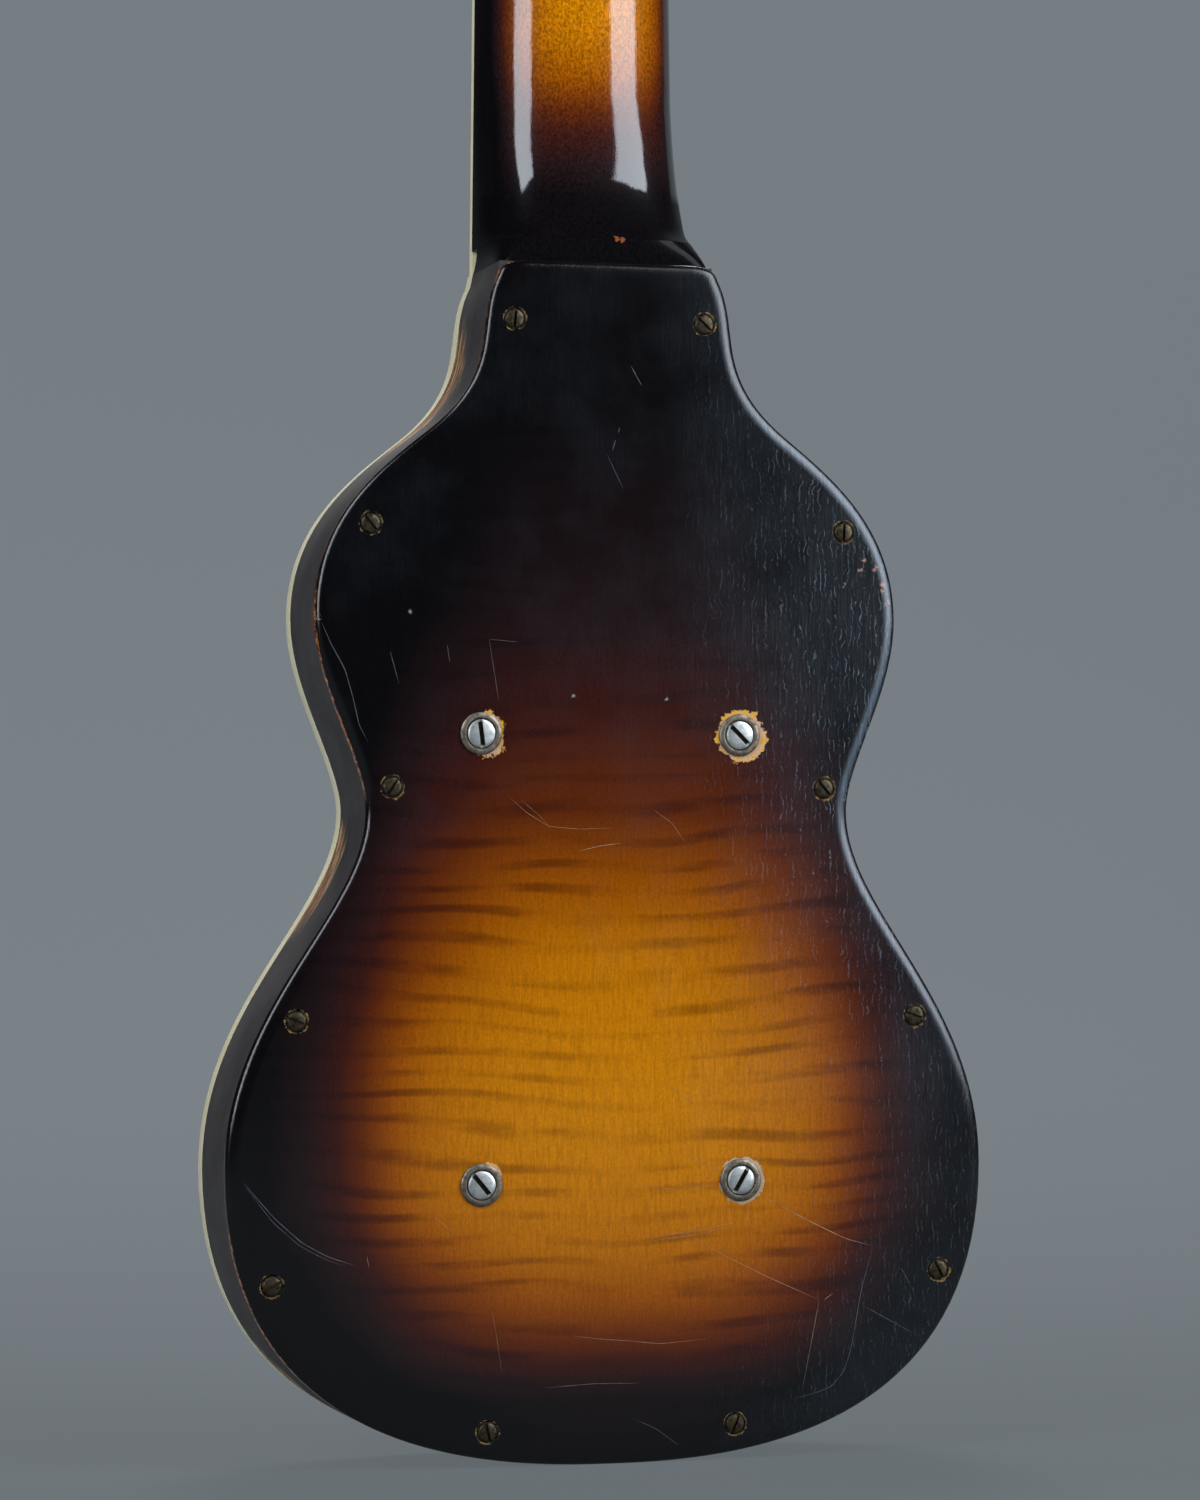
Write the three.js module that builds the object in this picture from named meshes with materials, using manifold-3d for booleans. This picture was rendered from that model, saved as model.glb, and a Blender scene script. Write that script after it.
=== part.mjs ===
// Lap steel guitar standing on its tail: +Z up the neck, -Y the back, +Y the playing side, +X the bass side.
// Lengths are millimetres. The body is a hollow maple rim under a bound top, closed by a screwed back plate.
import * as THREE from 'three';
import { mergeVertices } from 'three/addons/utils/BufferGeometryUtils.js';
import Module from 'manifold-3d';

const wasm = await Module();
wasm.setup();

// Fits that several pieces share
const seatGap = 0.3;
const cutOverrun = 2;
const quarterTurn = Math.PI / 2;

// Body outline: widths, the rise of each above the one below, and the pull of each curve's ends
const lowerBoutWidth = 241.7;
const lowerBoutHeight = 91;
const waistWidth = 154;
const waistRise = 110.1;
const upperBoutWidth = 186.2;
const upperBoutRise = 60.3;
const shoulderWidth = 114.4;
const shoulderRise = 56.9;
const neckCornerLip = 2.4;
const neckCornerRise = 48.7;
const neckEdgeRise = 4.4;
const cornerLean = 1;
const shoulderSlope = THREE.MathUtils.degToRad(38.4);
const shoulderPullBelow = 19.3;
const shoulderPullAbove = 30.3;
const neckCornerPullOut = 7.9;
const neckCornerPullDown = 15.4;
const tailPullShare = 0.24;
const hipPullShare = 0.467;
const waistPullBelowShare = 0.285;
const waistPullAboveShare = 0.253;
const upperBoutPullBelowShare = 0.378;
const upperBoutPullAboveShare = 0.522;
const stepsPerStretch = 8;

// Body boards
const bodyDepth = 46;
const backPlateThickness = 4;
const backPlateEdgeRound = 1.6;
const backPlateCornerRun = 6;
const topThickness = 6.5;
const bindingWidth = 1.6;
const rimWall = 14;
const neckBlockLength = 41.4;

// Neck and headstock
const heelSeamRise = 8.1;
const heelBlockDrop = 25;
const neckWidthAtSeam = 65.6;
const nutWidth = 58.5;
const neckDepth = 27;
const neckDepthAtNut = 22;
const heelSweepLength = 50;
const heelSweepPower = 2.5;
const neckSquareness = 2;
const heelSquareness = 6.5;
const headSquareness = 7;
const headBlendLength = 36;
const neckRingShares = [0, 0.07, 0.16, 0.28, 0.42, 0.62, 1];
const headRingShares = [1, 0.5, 0.2, 0];
const tenonWidth = 28;
const tenonLength = 30;
const tenonThickness = 20;
const tenonCover = 3.2;
const bridgeHeight = 98;
const scaleLength = 572;
const headTopMargin = 51;
const headWidth = 76;
const headTaper = 2;
const headThickness = 15;
const headDrop = 5;
const headFlareLength = 28;
const headCrownRise = 8;

// Fingerboard, frets and nut
const fingerboardOverhang = 7;
const fingerboardThickness = 4.2;
const fingerboardBindingWidth = 1.5;
const fretCount = 24;
const semitonesPerOctave = 12;
const fretCrownHeight = 1;
const fretCrownWidth = 0.9;
const fretFootWidth = 3;
const fretTangDepth = 1;
const nutThickness = 5;
const stringLineRise = 13;
const crestMargin = 0.8;

// Strings, thin to thick
const stringDiameters = [0.38, 0.46, 0.66, 0.86, 1.17, 1.42];
const nutStringSpacing = 9.4;
const bridgeStringSpacing = 10.2;
const windingGap = 0.5;
const windingTurnCount = 2;
const windingStepsPerTurn = 12;
const windingDrop = 2.8;
const ballEndRadius = 1.9;
const ballEndLength = 3;

// Bridge and tailpiece
const bridgeSideMargin = 15.5;
const bridgeFootLength = 16;
const bridgeFootHeight = 5;
const saddleThickness = 3;
const tailpieceHeight = 50;
const tailpieceSideMargin = 9.5;
const tailpieceFootLength = 22;
const tailpieceSheet = 2;
const tailpieceWallMargin = 2.8;
const ballEndGap = 0.8;

// Pickup
const pickupHeight = 150;
const bladeSideMargin = 3.5;
const bladeThickness = 2.4;
const bladeStringGap = 4;
const coilWall = 2.2;
const coilWindingWidth = 7;
const coilRise = 4.2;
const coilDepthBelowTop = 16;
const pickupCoverWall = 4;
const pickupCoverRoof = 1.4;
const magnetThickness = 12;
const magnetWidth = 24;

// Inner brace and the four machine screws that the back plate is pulled down with
const upperBraceScrewRise = 23.7;
const lowerBraceScrewDrop = 4.5;
const railWidth = 16;
const railClearance = 2;
const railEndLength = 16;
const crossBarRise = 46;
const crossBarWidth = 12;
const braceScrewRadius = 2.4;
const braceScrewHeadRadius = 4.4;
const braceScrewHeadThickness = 2;
const braceScrewDome = 0.4;
const braceScrewLength = 22;
const braceScrewSlotWidth = 1.3;
const braceScrewSlotDepth = 1.1;
const braceScrewSlotTurns = [-83, -45, -50, 60];
const ferruleWall = 0.9;
const ferruleLip = 1;
const ferruleFlangeThickness = 0.7;
const ferruleSeatDepth = 1.6;

// Screw heads: where the dome turns down to the rim
const domeRunShare = 0.7;
const domeRiseShare = 0.6;

// Wood screws round the back plate: a stretch of the outline, a share of it, and each side's slot turn
const woodScrewInset = 8.4;
const woodScrewHeadRadius = 3.3;
const woodScrewHeadDepth = 2.4;
const woodScrewDome = 0.4;
const woodScrewRadius = 1.7;
const woodScrewLength = 22;
const woodScrewTip = 5;
const woodScrewSlotWidth = 0.9;
const woodScrewSlotDepth = 0.9;
const woodScrewPlaces = [
  { name: 'tail', stretch: 0, share: 0.313, turns: [-78, 66] },
  { name: 'side', stretch: 0, share: 0.841, turns: [26, -62] },
  { name: 'hip', stretch: 1, share: 0.384, turns: [-24, -20] },
  { name: 'waist', stretch: 2, share: 0.116, turns: [56, -50] },
  { name: 'shoulder', stretch: 3, share: 0.449, turns: [-52, 86] },
  { name: 'neck', stretch: 4, share: 0.718, turns: [85, -43] },
];

// Volume and tone controls on the treble side, jack on the bass side
const knobInset = 31;
const knobPlaces = [{ name: 'volume', stretch: 1, share: 0.14 }, { name: 'tone', stretch: 0, share: 0.84 }];
const knobRadius = 11.5;
const knobCrownRadius = 8.5;
const knobHeight = 14;
const knobLift = 1.2;
const knobSkirtWall = 2.5;
const knobPointerWidth = 1.6;
const knobShaftRadius = 3;
const potRadius = 11.5;
const potDepth = 12;
const bushingRadius = 4.6;
const bushingRise = 6;
const jackFlangeRadius = 9;
const jackFlangeThickness = 2;
const jackBarrelRadius = 4.8;
const jackBoreRadius = 3.4;
const jackHousingRadius = 8;
const jackHousingLength = 16;
const jackHousingSetback = 1.2;
const jackEndWall = 2;

// Tuning machines, three to a plate
const postInset = 14;
const firstPostRise = 32;
const postSpacing = 41;
const postRadius = 3;
const postRise = 17;
const postCapRadius = 3.9;
const postCapThickness = 1.2;
const tunerPlateWidth = 23;
const tunerPlateEnd = 12;
const tunerPlateThickness = 1.2;
const gearTeeth = 12;
const gearPitchRadius = 5.6;
const toothAddendum = 0.4;
const toothHeight = 1.1;
const gearTipToothShare = 0.29;
const gearRootToothShare = 0.44;
const gearWidth = 2.6;
const wormRootRadius = 1.8;
const wormTipThreadShare = 0.27;
const wormRootThreadShare = 0.43;
const wormTurnCount = 2.25;
const wormTipGap = 0.4;
const wormEndGap = 0.5;
const earThickness = 1.4;
const earWidth = 6.4;
const earTopWall = 1.4;
const buttonClearance = 1.8;
const buttonLength = 15;
const buttonWidth = 17;
const buttonThickness = 7;

// Faces to a round
const smallRound = 8;
const runningRound = 10;
const wideRound = 14;
const slabCurveSteps = 4;

// Heights and levels that follow from the sizes above
const waistHeight = lowerBoutHeight + waistRise;
const upperBoutHeight = waistHeight + upperBoutRise;
const shoulderHeight = upperBoutHeight + shoulderRise;
const neckCornerHeight = shoulderHeight + neckCornerRise;
const bodyLength = neckCornerHeight + neckEdgeRise;
const heelSeamHeight = bodyLength + heelSeamRise;
const nutHeight = bridgeHeight + scaleLength;
const fretHeights = Array.from({ length: fretCount }, (_, i) => (
  nutHeight - scaleLength * (1 - 2 ** (-(i + 1) / semitonesPerOctave))
));
const fingerboardEndHeight = fretHeights.at(-1) - fingerboardOverhang;
const postHeights = [0, 1, 2].map((rank) => nutHeight + firstPostRise + rank * postSpacing);
const crownHeight = postHeights.at(-1) + headTopMargin;
const headFace = bodyDepth - headDrop;
const headBack = headFace - headThickness;
const rimBack = backPlateThickness + seatGap;
const topBack = bodyDepth - topThickness;
const rimFront = topBack - seatGap;
const tenonFront = rimFront - tenonCover;
const boardBack = bodyDepth + seatGap;
const boardFace = boardBack + fingerboardThickness;
const stringLine = bodyDepth + stringLineRise;
const sheetTop = boardBack + tailpieceSheet;
const anchorLevel = sheetTop + ballEndGap + ballEndRadius;
const bridgeStringSpan = (stringDiameters.length - 1) * bridgeStringSpacing;
const bladeHalf = bridgeStringSpan / 2 + bladeSideMargin;
const coilHalf = bladeHalf + seatGap + coilWall;
const coilHalfWidth = bladeThickness / 2 + seatGap + coilWindingWidth;
const braceScrewOffset = coilHalf + railClearance + railWidth / 2;
const upperBraceScrewHeight = waistHeight + upperBraceScrewRise;
const lowerBraceScrewHeight = lowerBoutHeight - lowerBraceScrewDrop;
const ferruleBarrelRadius = braceScrewHeadRadius + seatGap + ferruleWall;
const jackRecessDepth = jackFlangeThickness + 2 * seatGap;
const postOffset = headWidth / 2 - postInset;
const jackLevel = (rimBack + rimFront) / 2;
const neckHalfWidth = (z) => {
  const share = (z - heelSeamHeight) / (nutHeight - heelSeamHeight);
  return THREE.MathUtils.lerp(neckWidthAtSeam, nutWidth, share) / 2;
};

// A cubic curve through four points given as pairs
const curve = (...pairs) => new THREE.CubicBezierCurve(...pairs.map(([x, z]) => new THREE.Vector2(x, z)));
const lowerHalf = lowerBoutWidth / 2;
const waistHalf = waistWidth / 2;
const upperHalf = upperBoutWidth / 2;
const shoulderHalf = shoulderWidth / 2;
const cornerHalf = neckWidthAtSeam / 2 + neckCornerLip;
const slopeX = Math.cos(shoulderSlope);
const slopeZ = Math.sin(shoulderSlope);
const hipRise = waistHeight - lowerBoutHeight;
const ribRise = upperBoutHeight - waistHeight;
const upperPull = upperBoutPullAboveShare * (shoulderHeight - upperBoutHeight);

// The right half of the outline, from the middle of the tail up to the neck corner
const stretches = [
  curve([0, 0], [tailPullShare * lowerHalf, 0], [lowerHalf, 0], [lowerHalf, lowerBoutHeight]),
  curve(
    [lowerHalf, lowerBoutHeight],
    [lowerHalf, lowerBoutHeight + hipPullShare * hipRise],
    [waistHalf, waistHeight - waistPullBelowShare * hipRise],
    [waistHalf, waistHeight],
  ),
  curve(
    [waistHalf, waistHeight],
    [waistHalf, waistHeight + waistPullAboveShare * ribRise],
    [upperHalf, upperBoutHeight - upperBoutPullBelowShare * ribRise],
    [upperHalf, upperBoutHeight],
  ),
  curve(
    [upperHalf, upperBoutHeight],
    [upperHalf, upperBoutHeight + upperPull],
    [shoulderHalf + shoulderPullBelow * slopeX, shoulderHeight - shoulderPullBelow * slopeZ],
    [shoulderHalf, shoulderHeight],
  ),
  curve(
    [shoulderHalf, shoulderHeight],
    [shoulderHalf - shoulderPullAbove * slopeX, shoulderHeight + shoulderPullAbove * slopeZ],
    [cornerHalf + neckCornerPullOut, neckCornerHeight - neckCornerPullDown],
    [cornerHalf, neckCornerHeight],
  ),
];

// A place a given way in from the outline, at a share of one stretch
function insetPlace(stretch, share, inset) {
  const point = stretches[stretch].getPoint(share);
  const along = stretches[stretch].getTangent(share);
  return new THREE.Vector2(point.x - inset * along.y, point.y + inset * along.x);
}

// The whole outline, counter-clockwise seen from the back; the back plate's neck corners are rounded
function bodyOutline(cornerRun) {
  const right = stretches.flatMap((stretch, i) => stretch.getPoints(stepsPerStretch).slice(i ? 1 : 0));
  const tip = new THREE.Vector2(cornerHalf - cornerLean, bodyLength);
  if (cornerRun) {
    const end = new THREE.Vector2(tip.x - cornerRun, bodyLength);
    const corner = new THREE.QuadraticBezierCurve(right.at(-1), tip, end);
    right.push(...corner.getPoints(stepsPerStretch / 2).slice(1));
  } else {
    right.push(tip);
  }
  const left = right.slice(1).reverse().map((p) => new THREE.Vector2(-p.x, p.y));
  return [...right, ...left];
}

// A closed line moved inwards by the inset, with mitred corners
function moved(line, inset) {
  return line.map((p, i) => {
    const before = p.clone().sub(line.at(i - 1)).normalize();
    const after = line[(i + 1) % line.length].clone().sub(p).normalize();
    const inward = new THREE.Vector2(-before.y - after.y, before.x + after.x);
    return p.clone().addScaledVector(inward, inset / (1 + before.dot(after)));
  });
}

// A skin over rings of points: closed at both ends, or joined end to end as a hoop
function skin(rings, flat, hoop = false) {
  const count = rings[0].length;
  const indices = [];
  const last = hoop ? rings.length : rings.length - 1;
  for (let r = 0; r < last; r += 1) {
    const near = r * count;
    const far = ((r + 1) % rings.length) * count;
    for (let i = 0; i < count; i += 1) {
      const j = (i + 1) % count;
      indices.push(near + i, far + j, near + j, near + i, far + i, far + j);
    }
  }
  const cap = (ring, start, facesBack) => {
    const contour = ring.map(flat);
    const swapped = THREE.ShapeUtils.isClockWise(contour) === facesBack;
    THREE.ShapeUtils.triangulateShape(contour, []).forEach(([a, b, c]) => {
      indices.push(start + a, start + (swapped ? c : b), start + (swapped ? b : c));
    });
  };
  if (!hoop) {
    cap(rings[0], 0, true);
    cap(rings.at(-1), (rings.length - 1) * count, false);
  }
  const geometry = new THREE.BufferGeometry();
  const positions = rings.flat().flatMap((p) => p.toArray());
  geometry.setAttribute('position', new THREE.Float32BufferAttribute(positions, 3));
  geometry.setIndex(indices);
  return geometry;
}

// The body outline stacked through levels of [inset, y]
function outlineStack(line, levels, hoop = false) {
  const rings = levels.map(([inset, y]) => moved(line, inset).map((p) => new THREE.Vector3(p.x, y, p.y)));
  return skin(rings, (p) => new THREE.Vector2(p.x, p.z), hoop);
}

// Plain shapes in the guitar's own directions
function slab(shape, back, front) {
  const options = { depth: front - back, bevelEnabled: false, curveSegments: slabCurveSteps };
  const geometry = new THREE.ExtrudeGeometry(shape, options);
  return geometry.rotateX(quarterTurn).translate(0, front, 0);
}

function bar(pairs, width) {
  const shape = new THREE.Shape(pairs.map(([z, y]) => new THREE.Vector2(z, y)));
  const geometry = new THREE.ExtrudeGeometry(shape, { depth: width, bevelEnabled: false });
  return geometry.rotateY(-quarterTurn).translate(width / 2, 0, 0);
}

function box([x0, x1], [y0, y1], [z0, z1]) {
  const geometry = new THREE.BoxGeometry(x1 - x0, y1 - y0, z1 - z0);
  return geometry.translate((x0 + x1) / 2, (y0 + y1) / 2, (z0 + z1) / 2);
}

function rod(radius, back, front, x, z, faces = smallRound, frontRadius = radius) {
  const geometry = new THREE.CylinderGeometry(frontRadius, radius, front - back, faces);
  return geometry.translate(x, (back + front) / 2, z);
}

// A turned piece from pairs of [radius, distance along +Y]
function turned(pairs, faces) {
  return new THREE.LatheGeometry(pairs.map(([r, y]) => new THREE.Vector2(r, y)), faces);
}

const alongX = (geometry) => geometry.rotateZ(-quarterTurn);

// Solids for joining and cutting
function solid(geometry) {
  const bare = geometry.clone();
  bare.deleteAttribute('normal');
  bare.deleteAttribute('uv');
  const merged = mergeVertices(bare);
  const vertProperties = new Float32Array(merged.attributes.position.array);
  const triVerts = new Uint32Array(merged.index.array);
  return new wasm.Manifold(new wasm.Mesh({ numProp: 3, vertProperties, triVerts }));
}

function worked(base, { joined = [], cut = [] }) {
  let body = solid(base);
  joined.forEach((geometry) => { body = body.add(solid(geometry)); });
  cut.forEach((geometry) => { body = body.subtract(solid(geometry)); });
  const mesh = body.getMesh();
  const geometry = new THREE.BufferGeometry();
  geometry.setAttribute('position', new THREE.BufferAttribute(mesh.vertProperties, mesh.numProp));
  geometry.setIndex(new THREE.BufferAttribute(mesh.triVerts, 1));
  geometry.computeVertexNormals();
  return geometry;
}

// Finishes
function finish(color, roughness, metalness = 0) {
  return new THREE.MeshStandardMaterial({ color, roughness, metalness });
}

const sunburstMaple = finish('#8a4a12', 0.25);
const darkMaple = finish('#1c1d20', 0.35);
const plainMaple = finish('#c9a06a', 0.7);
const creamPlastic = finish('#c8bb90', 0.35);
const rosewood = finish('#3a2218', 0.5);
const blackPlastic = finish('#141414', 0.3);
const nickel = finish('#b9b6ae', 0.28, 1);
const agedSteel = finish('#4c463c', 0.45, 1);
const ivoryPlastic = finish('#ded2ae', 0.3);
const stringSteel = finish('#c4c2bc', 0.3, 1);
const magnetSteel = finish('#55585a', 0.5, 1);

const guitar = new THREE.Group();
function place(name, geometry, material) {
  const mesh = new THREE.Mesh(geometry, material);
  mesh.name = name;
  guitar.add(mesh);
}

const sides = [{ name: 'treble', sign: -1 }, { name: 'bass', sign: 1 }];
const braceScrewPlaces = [upperBraceScrewHeight, lowerBraceScrewHeight].flatMap((z, row) => (
  sides.map(({ name, sign }, column) => ({
    name: `${row ? 'lower' : 'upper'}_${name}`,
    x: sign * braceScrewOffset,
    z,
    turn: braceScrewSlotTurns[2 * row + column],
  }))
));
const woodScrews = woodScrewPlaces.flatMap(({ name, stretch, share, turns }) => {
  const seat = insetPlace(stretch, share, woodScrewInset);
  return sides.map((side, i) => ({
    name: `${name}_${side.name}`,
    x: side.sign * seat.x,
    z: seat.y,
    turn: turns[i],
  }));
});
const controls = knobPlaces.map(({ name, stretch, share }) => {
  const at = insetPlace(stretch, share, knobInset);
  return { name, x: -at.x, z: at.y };
});

// Neck sections: half an ellipse along the neck, which squares up into the heel and into the headstock
function neckSection(z) {
  const { clamp, lerp } = THREE.MathUtils;
  const heelShare = clamp((heelSeamHeight + heelSweepLength - z) / heelSweepLength, 0, 1) ** heelSweepPower;
  const headShare = clamp((z - nutHeight + headBlendLength) / headBlendLength, 0, 1) ** 2;
  const runShare = clamp((z - heelSeamHeight) / (nutHeight - heelSeamHeight), 0, 1);
  const plainDepth = lerp(neckDepth, neckDepthAtNut, runShare);
  const depth = lerp(lerp(plainDepth, bodyDepth - rimBack, heelShare), bodyDepth - headBack, headShare);
  const squareness = lerp(lerp(neckSquareness, heelSquareness, heelShare), headSquareness, headShare);
  const half = neckHalfWidth(Math.max(z, heelSeamHeight));
  return Array.from({ length: wideRound + 1 }, (_, i) => {
    const turn = Math.PI * i / wideRound;
    const across = i === wideRound / 2 ? 0 : Math.abs(Math.cos(turn)) ** (2 / squareness);
    const back = Math.abs(Math.sin(turn)) ** (2 / squareness);
    return new THREE.Vector3(Math.sign(Math.cos(turn)) * half * across, bodyDepth - depth * back, z);
  });
}

const sectionFlat = (p) => new THREE.Vector2(p.x, p.y);

// Rim: the hollow body's sides, neck block and heel, in one piece of maple
function rim() {
  const outline = bodyOutline(0);
  const cavityTopHeight = bodyLength - neckBlockLength;
  const sideLine = moved(outline, rimWall).filter((p) => p.x >= 0 && p.y < cavityTopHeight);
  const top = new THREE.Vector2(sideLine.at(-1).x, cavityTopHeight);
  const rightSide = [...sideLine, top];
  const leftSide = rightSide.slice(1).reverse().map((p) => new THREE.Vector2(-p.x, p.y));
  const shape = new THREE.Shape(outline);
  shape.holes.push(new THREE.Path([...rightSide, ...leftSide]));
  const blockStart = heelSeamHeight - seatGap - heelBlockDrop;
  const heelBlock = skin([neckSection(blockStart), neckSection(heelSeamHeight - seatGap)], sectionFlat);
  const heelFront = bodyDepth + cutOverrun;
  const overBlock = cornerHalf + cutOverrun;
  const topRecess = box(
    [-overBlock, overBlock],
    [rimFront, heelFront],
    [blockStart - cutOverrun, bodyLength + seatGap],
  );
  const heel = worked(heelBlock, { cut: [topRecess] });
  const tenonHalf = tenonWidth / 2 + seatGap;
  const mortise = box(
    [-tenonHalf, tenonHalf],
    [tenonFront - tenonThickness - seatGap, tenonFront + seatGap],
    [heelSeamHeight - tenonLength - seatGap, heelSeamHeight + cutOverrun],
  );
  const screwEnd = woodScrewLength + seatGap;
  const pilots = woodScrews.map(({ x, z }) => (
    rod(woodScrewRadius + seatGap, rimBack - cutOverrun, screwEnd, x, z)
  ));
  const jackBore = alongX(new THREE.CylinderGeometry(
    jackBarrelRadius + seatGap,
    jackBarrelRadius + seatGap,
    rimWall + 2 * cutOverrun,
    wideRound,
  ));
  jackBore.translate(lowerHalf - rimWall / 2, jackLevel, lowerBoutHeight);
  const recessRun = jackRecessDepth + cutOverrun;
  const jackRecess = alongX(new THREE.CylinderGeometry(
    jackFlangeRadius + seatGap,
    jackFlangeRadius + seatGap,
    recessRun,
    wideRound,
  ));
  jackRecess.translate(lowerHalf - jackRecessDepth + recessRun / 2, jackLevel, lowerBoutHeight);
  place('body_rim', worked(slab(shape, rimBack, rimFront), {
    joined: [heel],
    cut: [mortise, ...pilots, jackBore, jackRecess],
  }), darkMaple);
}

// Top board, set inside the cream binding
function topBoard() {
  const inset = bindingWidth + seatGap;
  const coilHole = box(
    [-coilHalf - seatGap, coilHalf + seatGap],
    [topBack - cutOverrun, bodyDepth + cutOverrun],
    [pickupHeight - coilHalfWidth - seatGap, pickupHeight + coilHalfWidth + seatGap],
  );
  const bushingHoles = controls.map(({ x, z }) => (
    rod(bushingRadius + seatGap, topBack - cutOverrun, bodyDepth + cutOverrun, x, z, runningRound)
  ));
  const board = outlineStack(bodyOutline(0), [[inset, topBack], [inset, bodyDepth]]);
  place('top_board', worked(board, { cut: [coilHole, ...bushingHoles] }), sunburstMaple);
  const strip = [[0, topBack], [0, bodyDepth], [bindingWidth, bodyDepth], [bindingWidth, topBack]];
  place('top_binding', outlineStack(bodyOutline(0), strip, true), creamPlastic);
}

// Back plate with a rounded edge, countersinks and ferrule holes
function backPlate() {
  const soft = backPlateEdgeRound;
  const levels = [
    [soft, 0],
    [soft * (1 - Math.sin(Math.PI / 4)), soft * (1 - Math.cos(Math.PI / 4))],
    [0, soft],
    [0, backPlateThickness],
  ];
  const behind = -cutOverrun;
  const through = backPlateThickness + cutOverrun;
  const holes = woodScrews.flatMap(({ x, z }) => {
    const flare = (woodScrewHeadRadius - woodScrewRadius) / woodScrewHeadDepth;
    const wide = woodScrewHeadRadius + seatGap + flare * cutOverrun;
    const narrow = woodScrewRadius + seatGap;
    return [
      rod(wide, behind, woodScrewHeadDepth, x, z, smallRound, narrow),
      rod(narrow, behind, through, x, z),
    ];
  });
  const ferruleHoles = braceScrewPlaces.map(({ x, z }) => (
    rod(ferruleBarrelRadius + seatGap, behind, through, x, z, runningRound)
  ));
  const plate = outlineStack(bodyOutline(backPlateCornerRun), levels);
  place('back_plate', worked(plate, { cut: [...holes, ...ferruleHoles] }), sunburstMaple);
}

// Neck with its tenon and headstock
function neck() {
  const heelHeights = neckRingShares.map((share) => heelSeamHeight + share * heelSweepLength);
  const blendHeights = headRingShares.map((share) => nutHeight - share * headBlendLength);
  const middle = (heelHeights.at(-1) + blendHeights[0]) / 2;
  const loft = skin([...heelHeights, middle, ...blendHeights].map(neckSection), sectionFlat);
  const halfNut = neckHalfWidth(nutHeight);
  const headStart = nutHeight - cutOverrun;
  const flareTop = nutHeight + headFlareLength;
  const flareMiddle = (nutHeight + flareTop) / 2;
  const crownCorner = crownHeight - headCrownRise;
  const crownHalf = headWidth / 2 - headTaper;
  const head = new THREE.Shape();
  head.moveTo(-halfNut, headStart);
  head.lineTo(halfNut, headStart);
  head.lineTo(halfNut, nutHeight);
  head.quadraticCurveTo(halfNut, flareMiddle, headWidth / 2, flareTop);
  head.lineTo(crownHalf, crownCorner);
  head.quadraticCurveTo(crownHalf / 2, crownHeight, 0, crownHeight);
  head.quadraticCurveTo(-crownHalf / 2, crownHeight, -crownHalf, crownCorner);
  head.lineTo(-headWidth / 2, flareTop);
  head.quadraticCurveTo(-halfNut, flareMiddle, -halfNut, nutHeight);
  const nutLedge = box(
    [-halfNut, halfNut],
    [headFace - cutOverrun, bodyDepth],
    [headStart, nutHeight + nutThickness],
  );
  const tenon = box(
    [-tenonWidth / 2, tenonWidth / 2],
    [tenonFront - tenonThickness, tenonFront],
    [heelSeamHeight - tenonLength, heelSeamHeight + cutOverrun],
  );
  const postHoles = tuners.map(({ x, z }) => (
    rod(postRadius + seatGap, headBack - cutOverrun, headFace + cutOverrun, x, z, runningRound)
  ));
  const joined = [slab(head, headBack, headFace), nutLedge, tenon];
  place('neck', worked(loft, { joined, cut: postHoles }), sunburstMaple);
}

// Fingerboard with its frets, its binding, and the tall nut
function fingerboard() {
  const trapezoid = (inset, start, end) => new THREE.Shape([
    new THREE.Vector2(inset - neckHalfWidth(start), start),
    new THREE.Vector2(neckHalfWidth(start) - inset, start),
    new THREE.Vector2(neckHalfWidth(end) - inset, end),
    new THREE.Vector2(inset - neckHalfWidth(end), end),
  ]);
  const boardInset = fingerboardBindingWidth + seatGap;
  const end = nutHeight - seatGap;
  const start = fingerboardEndHeight + boardInset;
  const frets = fretHeights.map((z) => {
    const foot = fretFootWidth / 2;
    const crown = fretCrownWidth / 2;
    const section = [
      [z - foot, boardFace - fretTangDepth],
      [z + foot, boardFace - fretTangDepth],
      [z + crown, boardFace + fretCrownHeight],
      [z - crown, boardFace + fretCrownHeight],
    ];
    return bar(section, 2 * (neckHalfWidth(z + foot) - boardInset - seatGap));
  });
  const board = slab(trapezoid(boardInset, start, end), boardBack, boardFace);
  place('fingerboard', worked(board, { joined: frets }), rosewood);

  const innerStart = fingerboardEndHeight + fingerboardBindingWidth;
  const inner = trapezoid(fingerboardBindingWidth, innerStart, end).getPoints();
  const outer = trapezoid(0, fingerboardEndHeight, end).getPoints();
  const strip = new THREE.Shape([...outer.slice(0, 3), inner[2], inner[1], inner[0], inner[3], outer[3]]);
  place('fingerboard_binding', slab(strip, boardBack, boardFace), creamPlastic);

  const halfNut = neckHalfWidth(nutHeight);
  const nutEnd = nutHeight + nutThickness;
  const block = box([-halfNut, halfNut], [boardBack, stringLine + crestMargin], [nutHeight, nutEnd]);
  place('nut', worked(block, { cut: stringSlots(nutHeight, nutEnd, nutStringSpacing) }), nickel);
}

// Strings: where each one crosses the bridge and the nut, and the post that it winds on
const stringMiddle = (stringDiameters.length - 1) / 2;
const perSide = stringDiameters.length / 2;
const strings = stringDiameters.map((diameter, i) => {
  const sign = i < perSide ? -1 : 1;
  const rank = i < perSide ? i : stringDiameters.length - 1 - i;
  return { number: i + 1, diameter, sign, rank, step: i - stringMiddle };
});
const tuners = strings.map(({ number, sign, rank }) => ({
  number,
  sign,
  x: sign * postOffset,
  z: postHeights[rank],
}));

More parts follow.
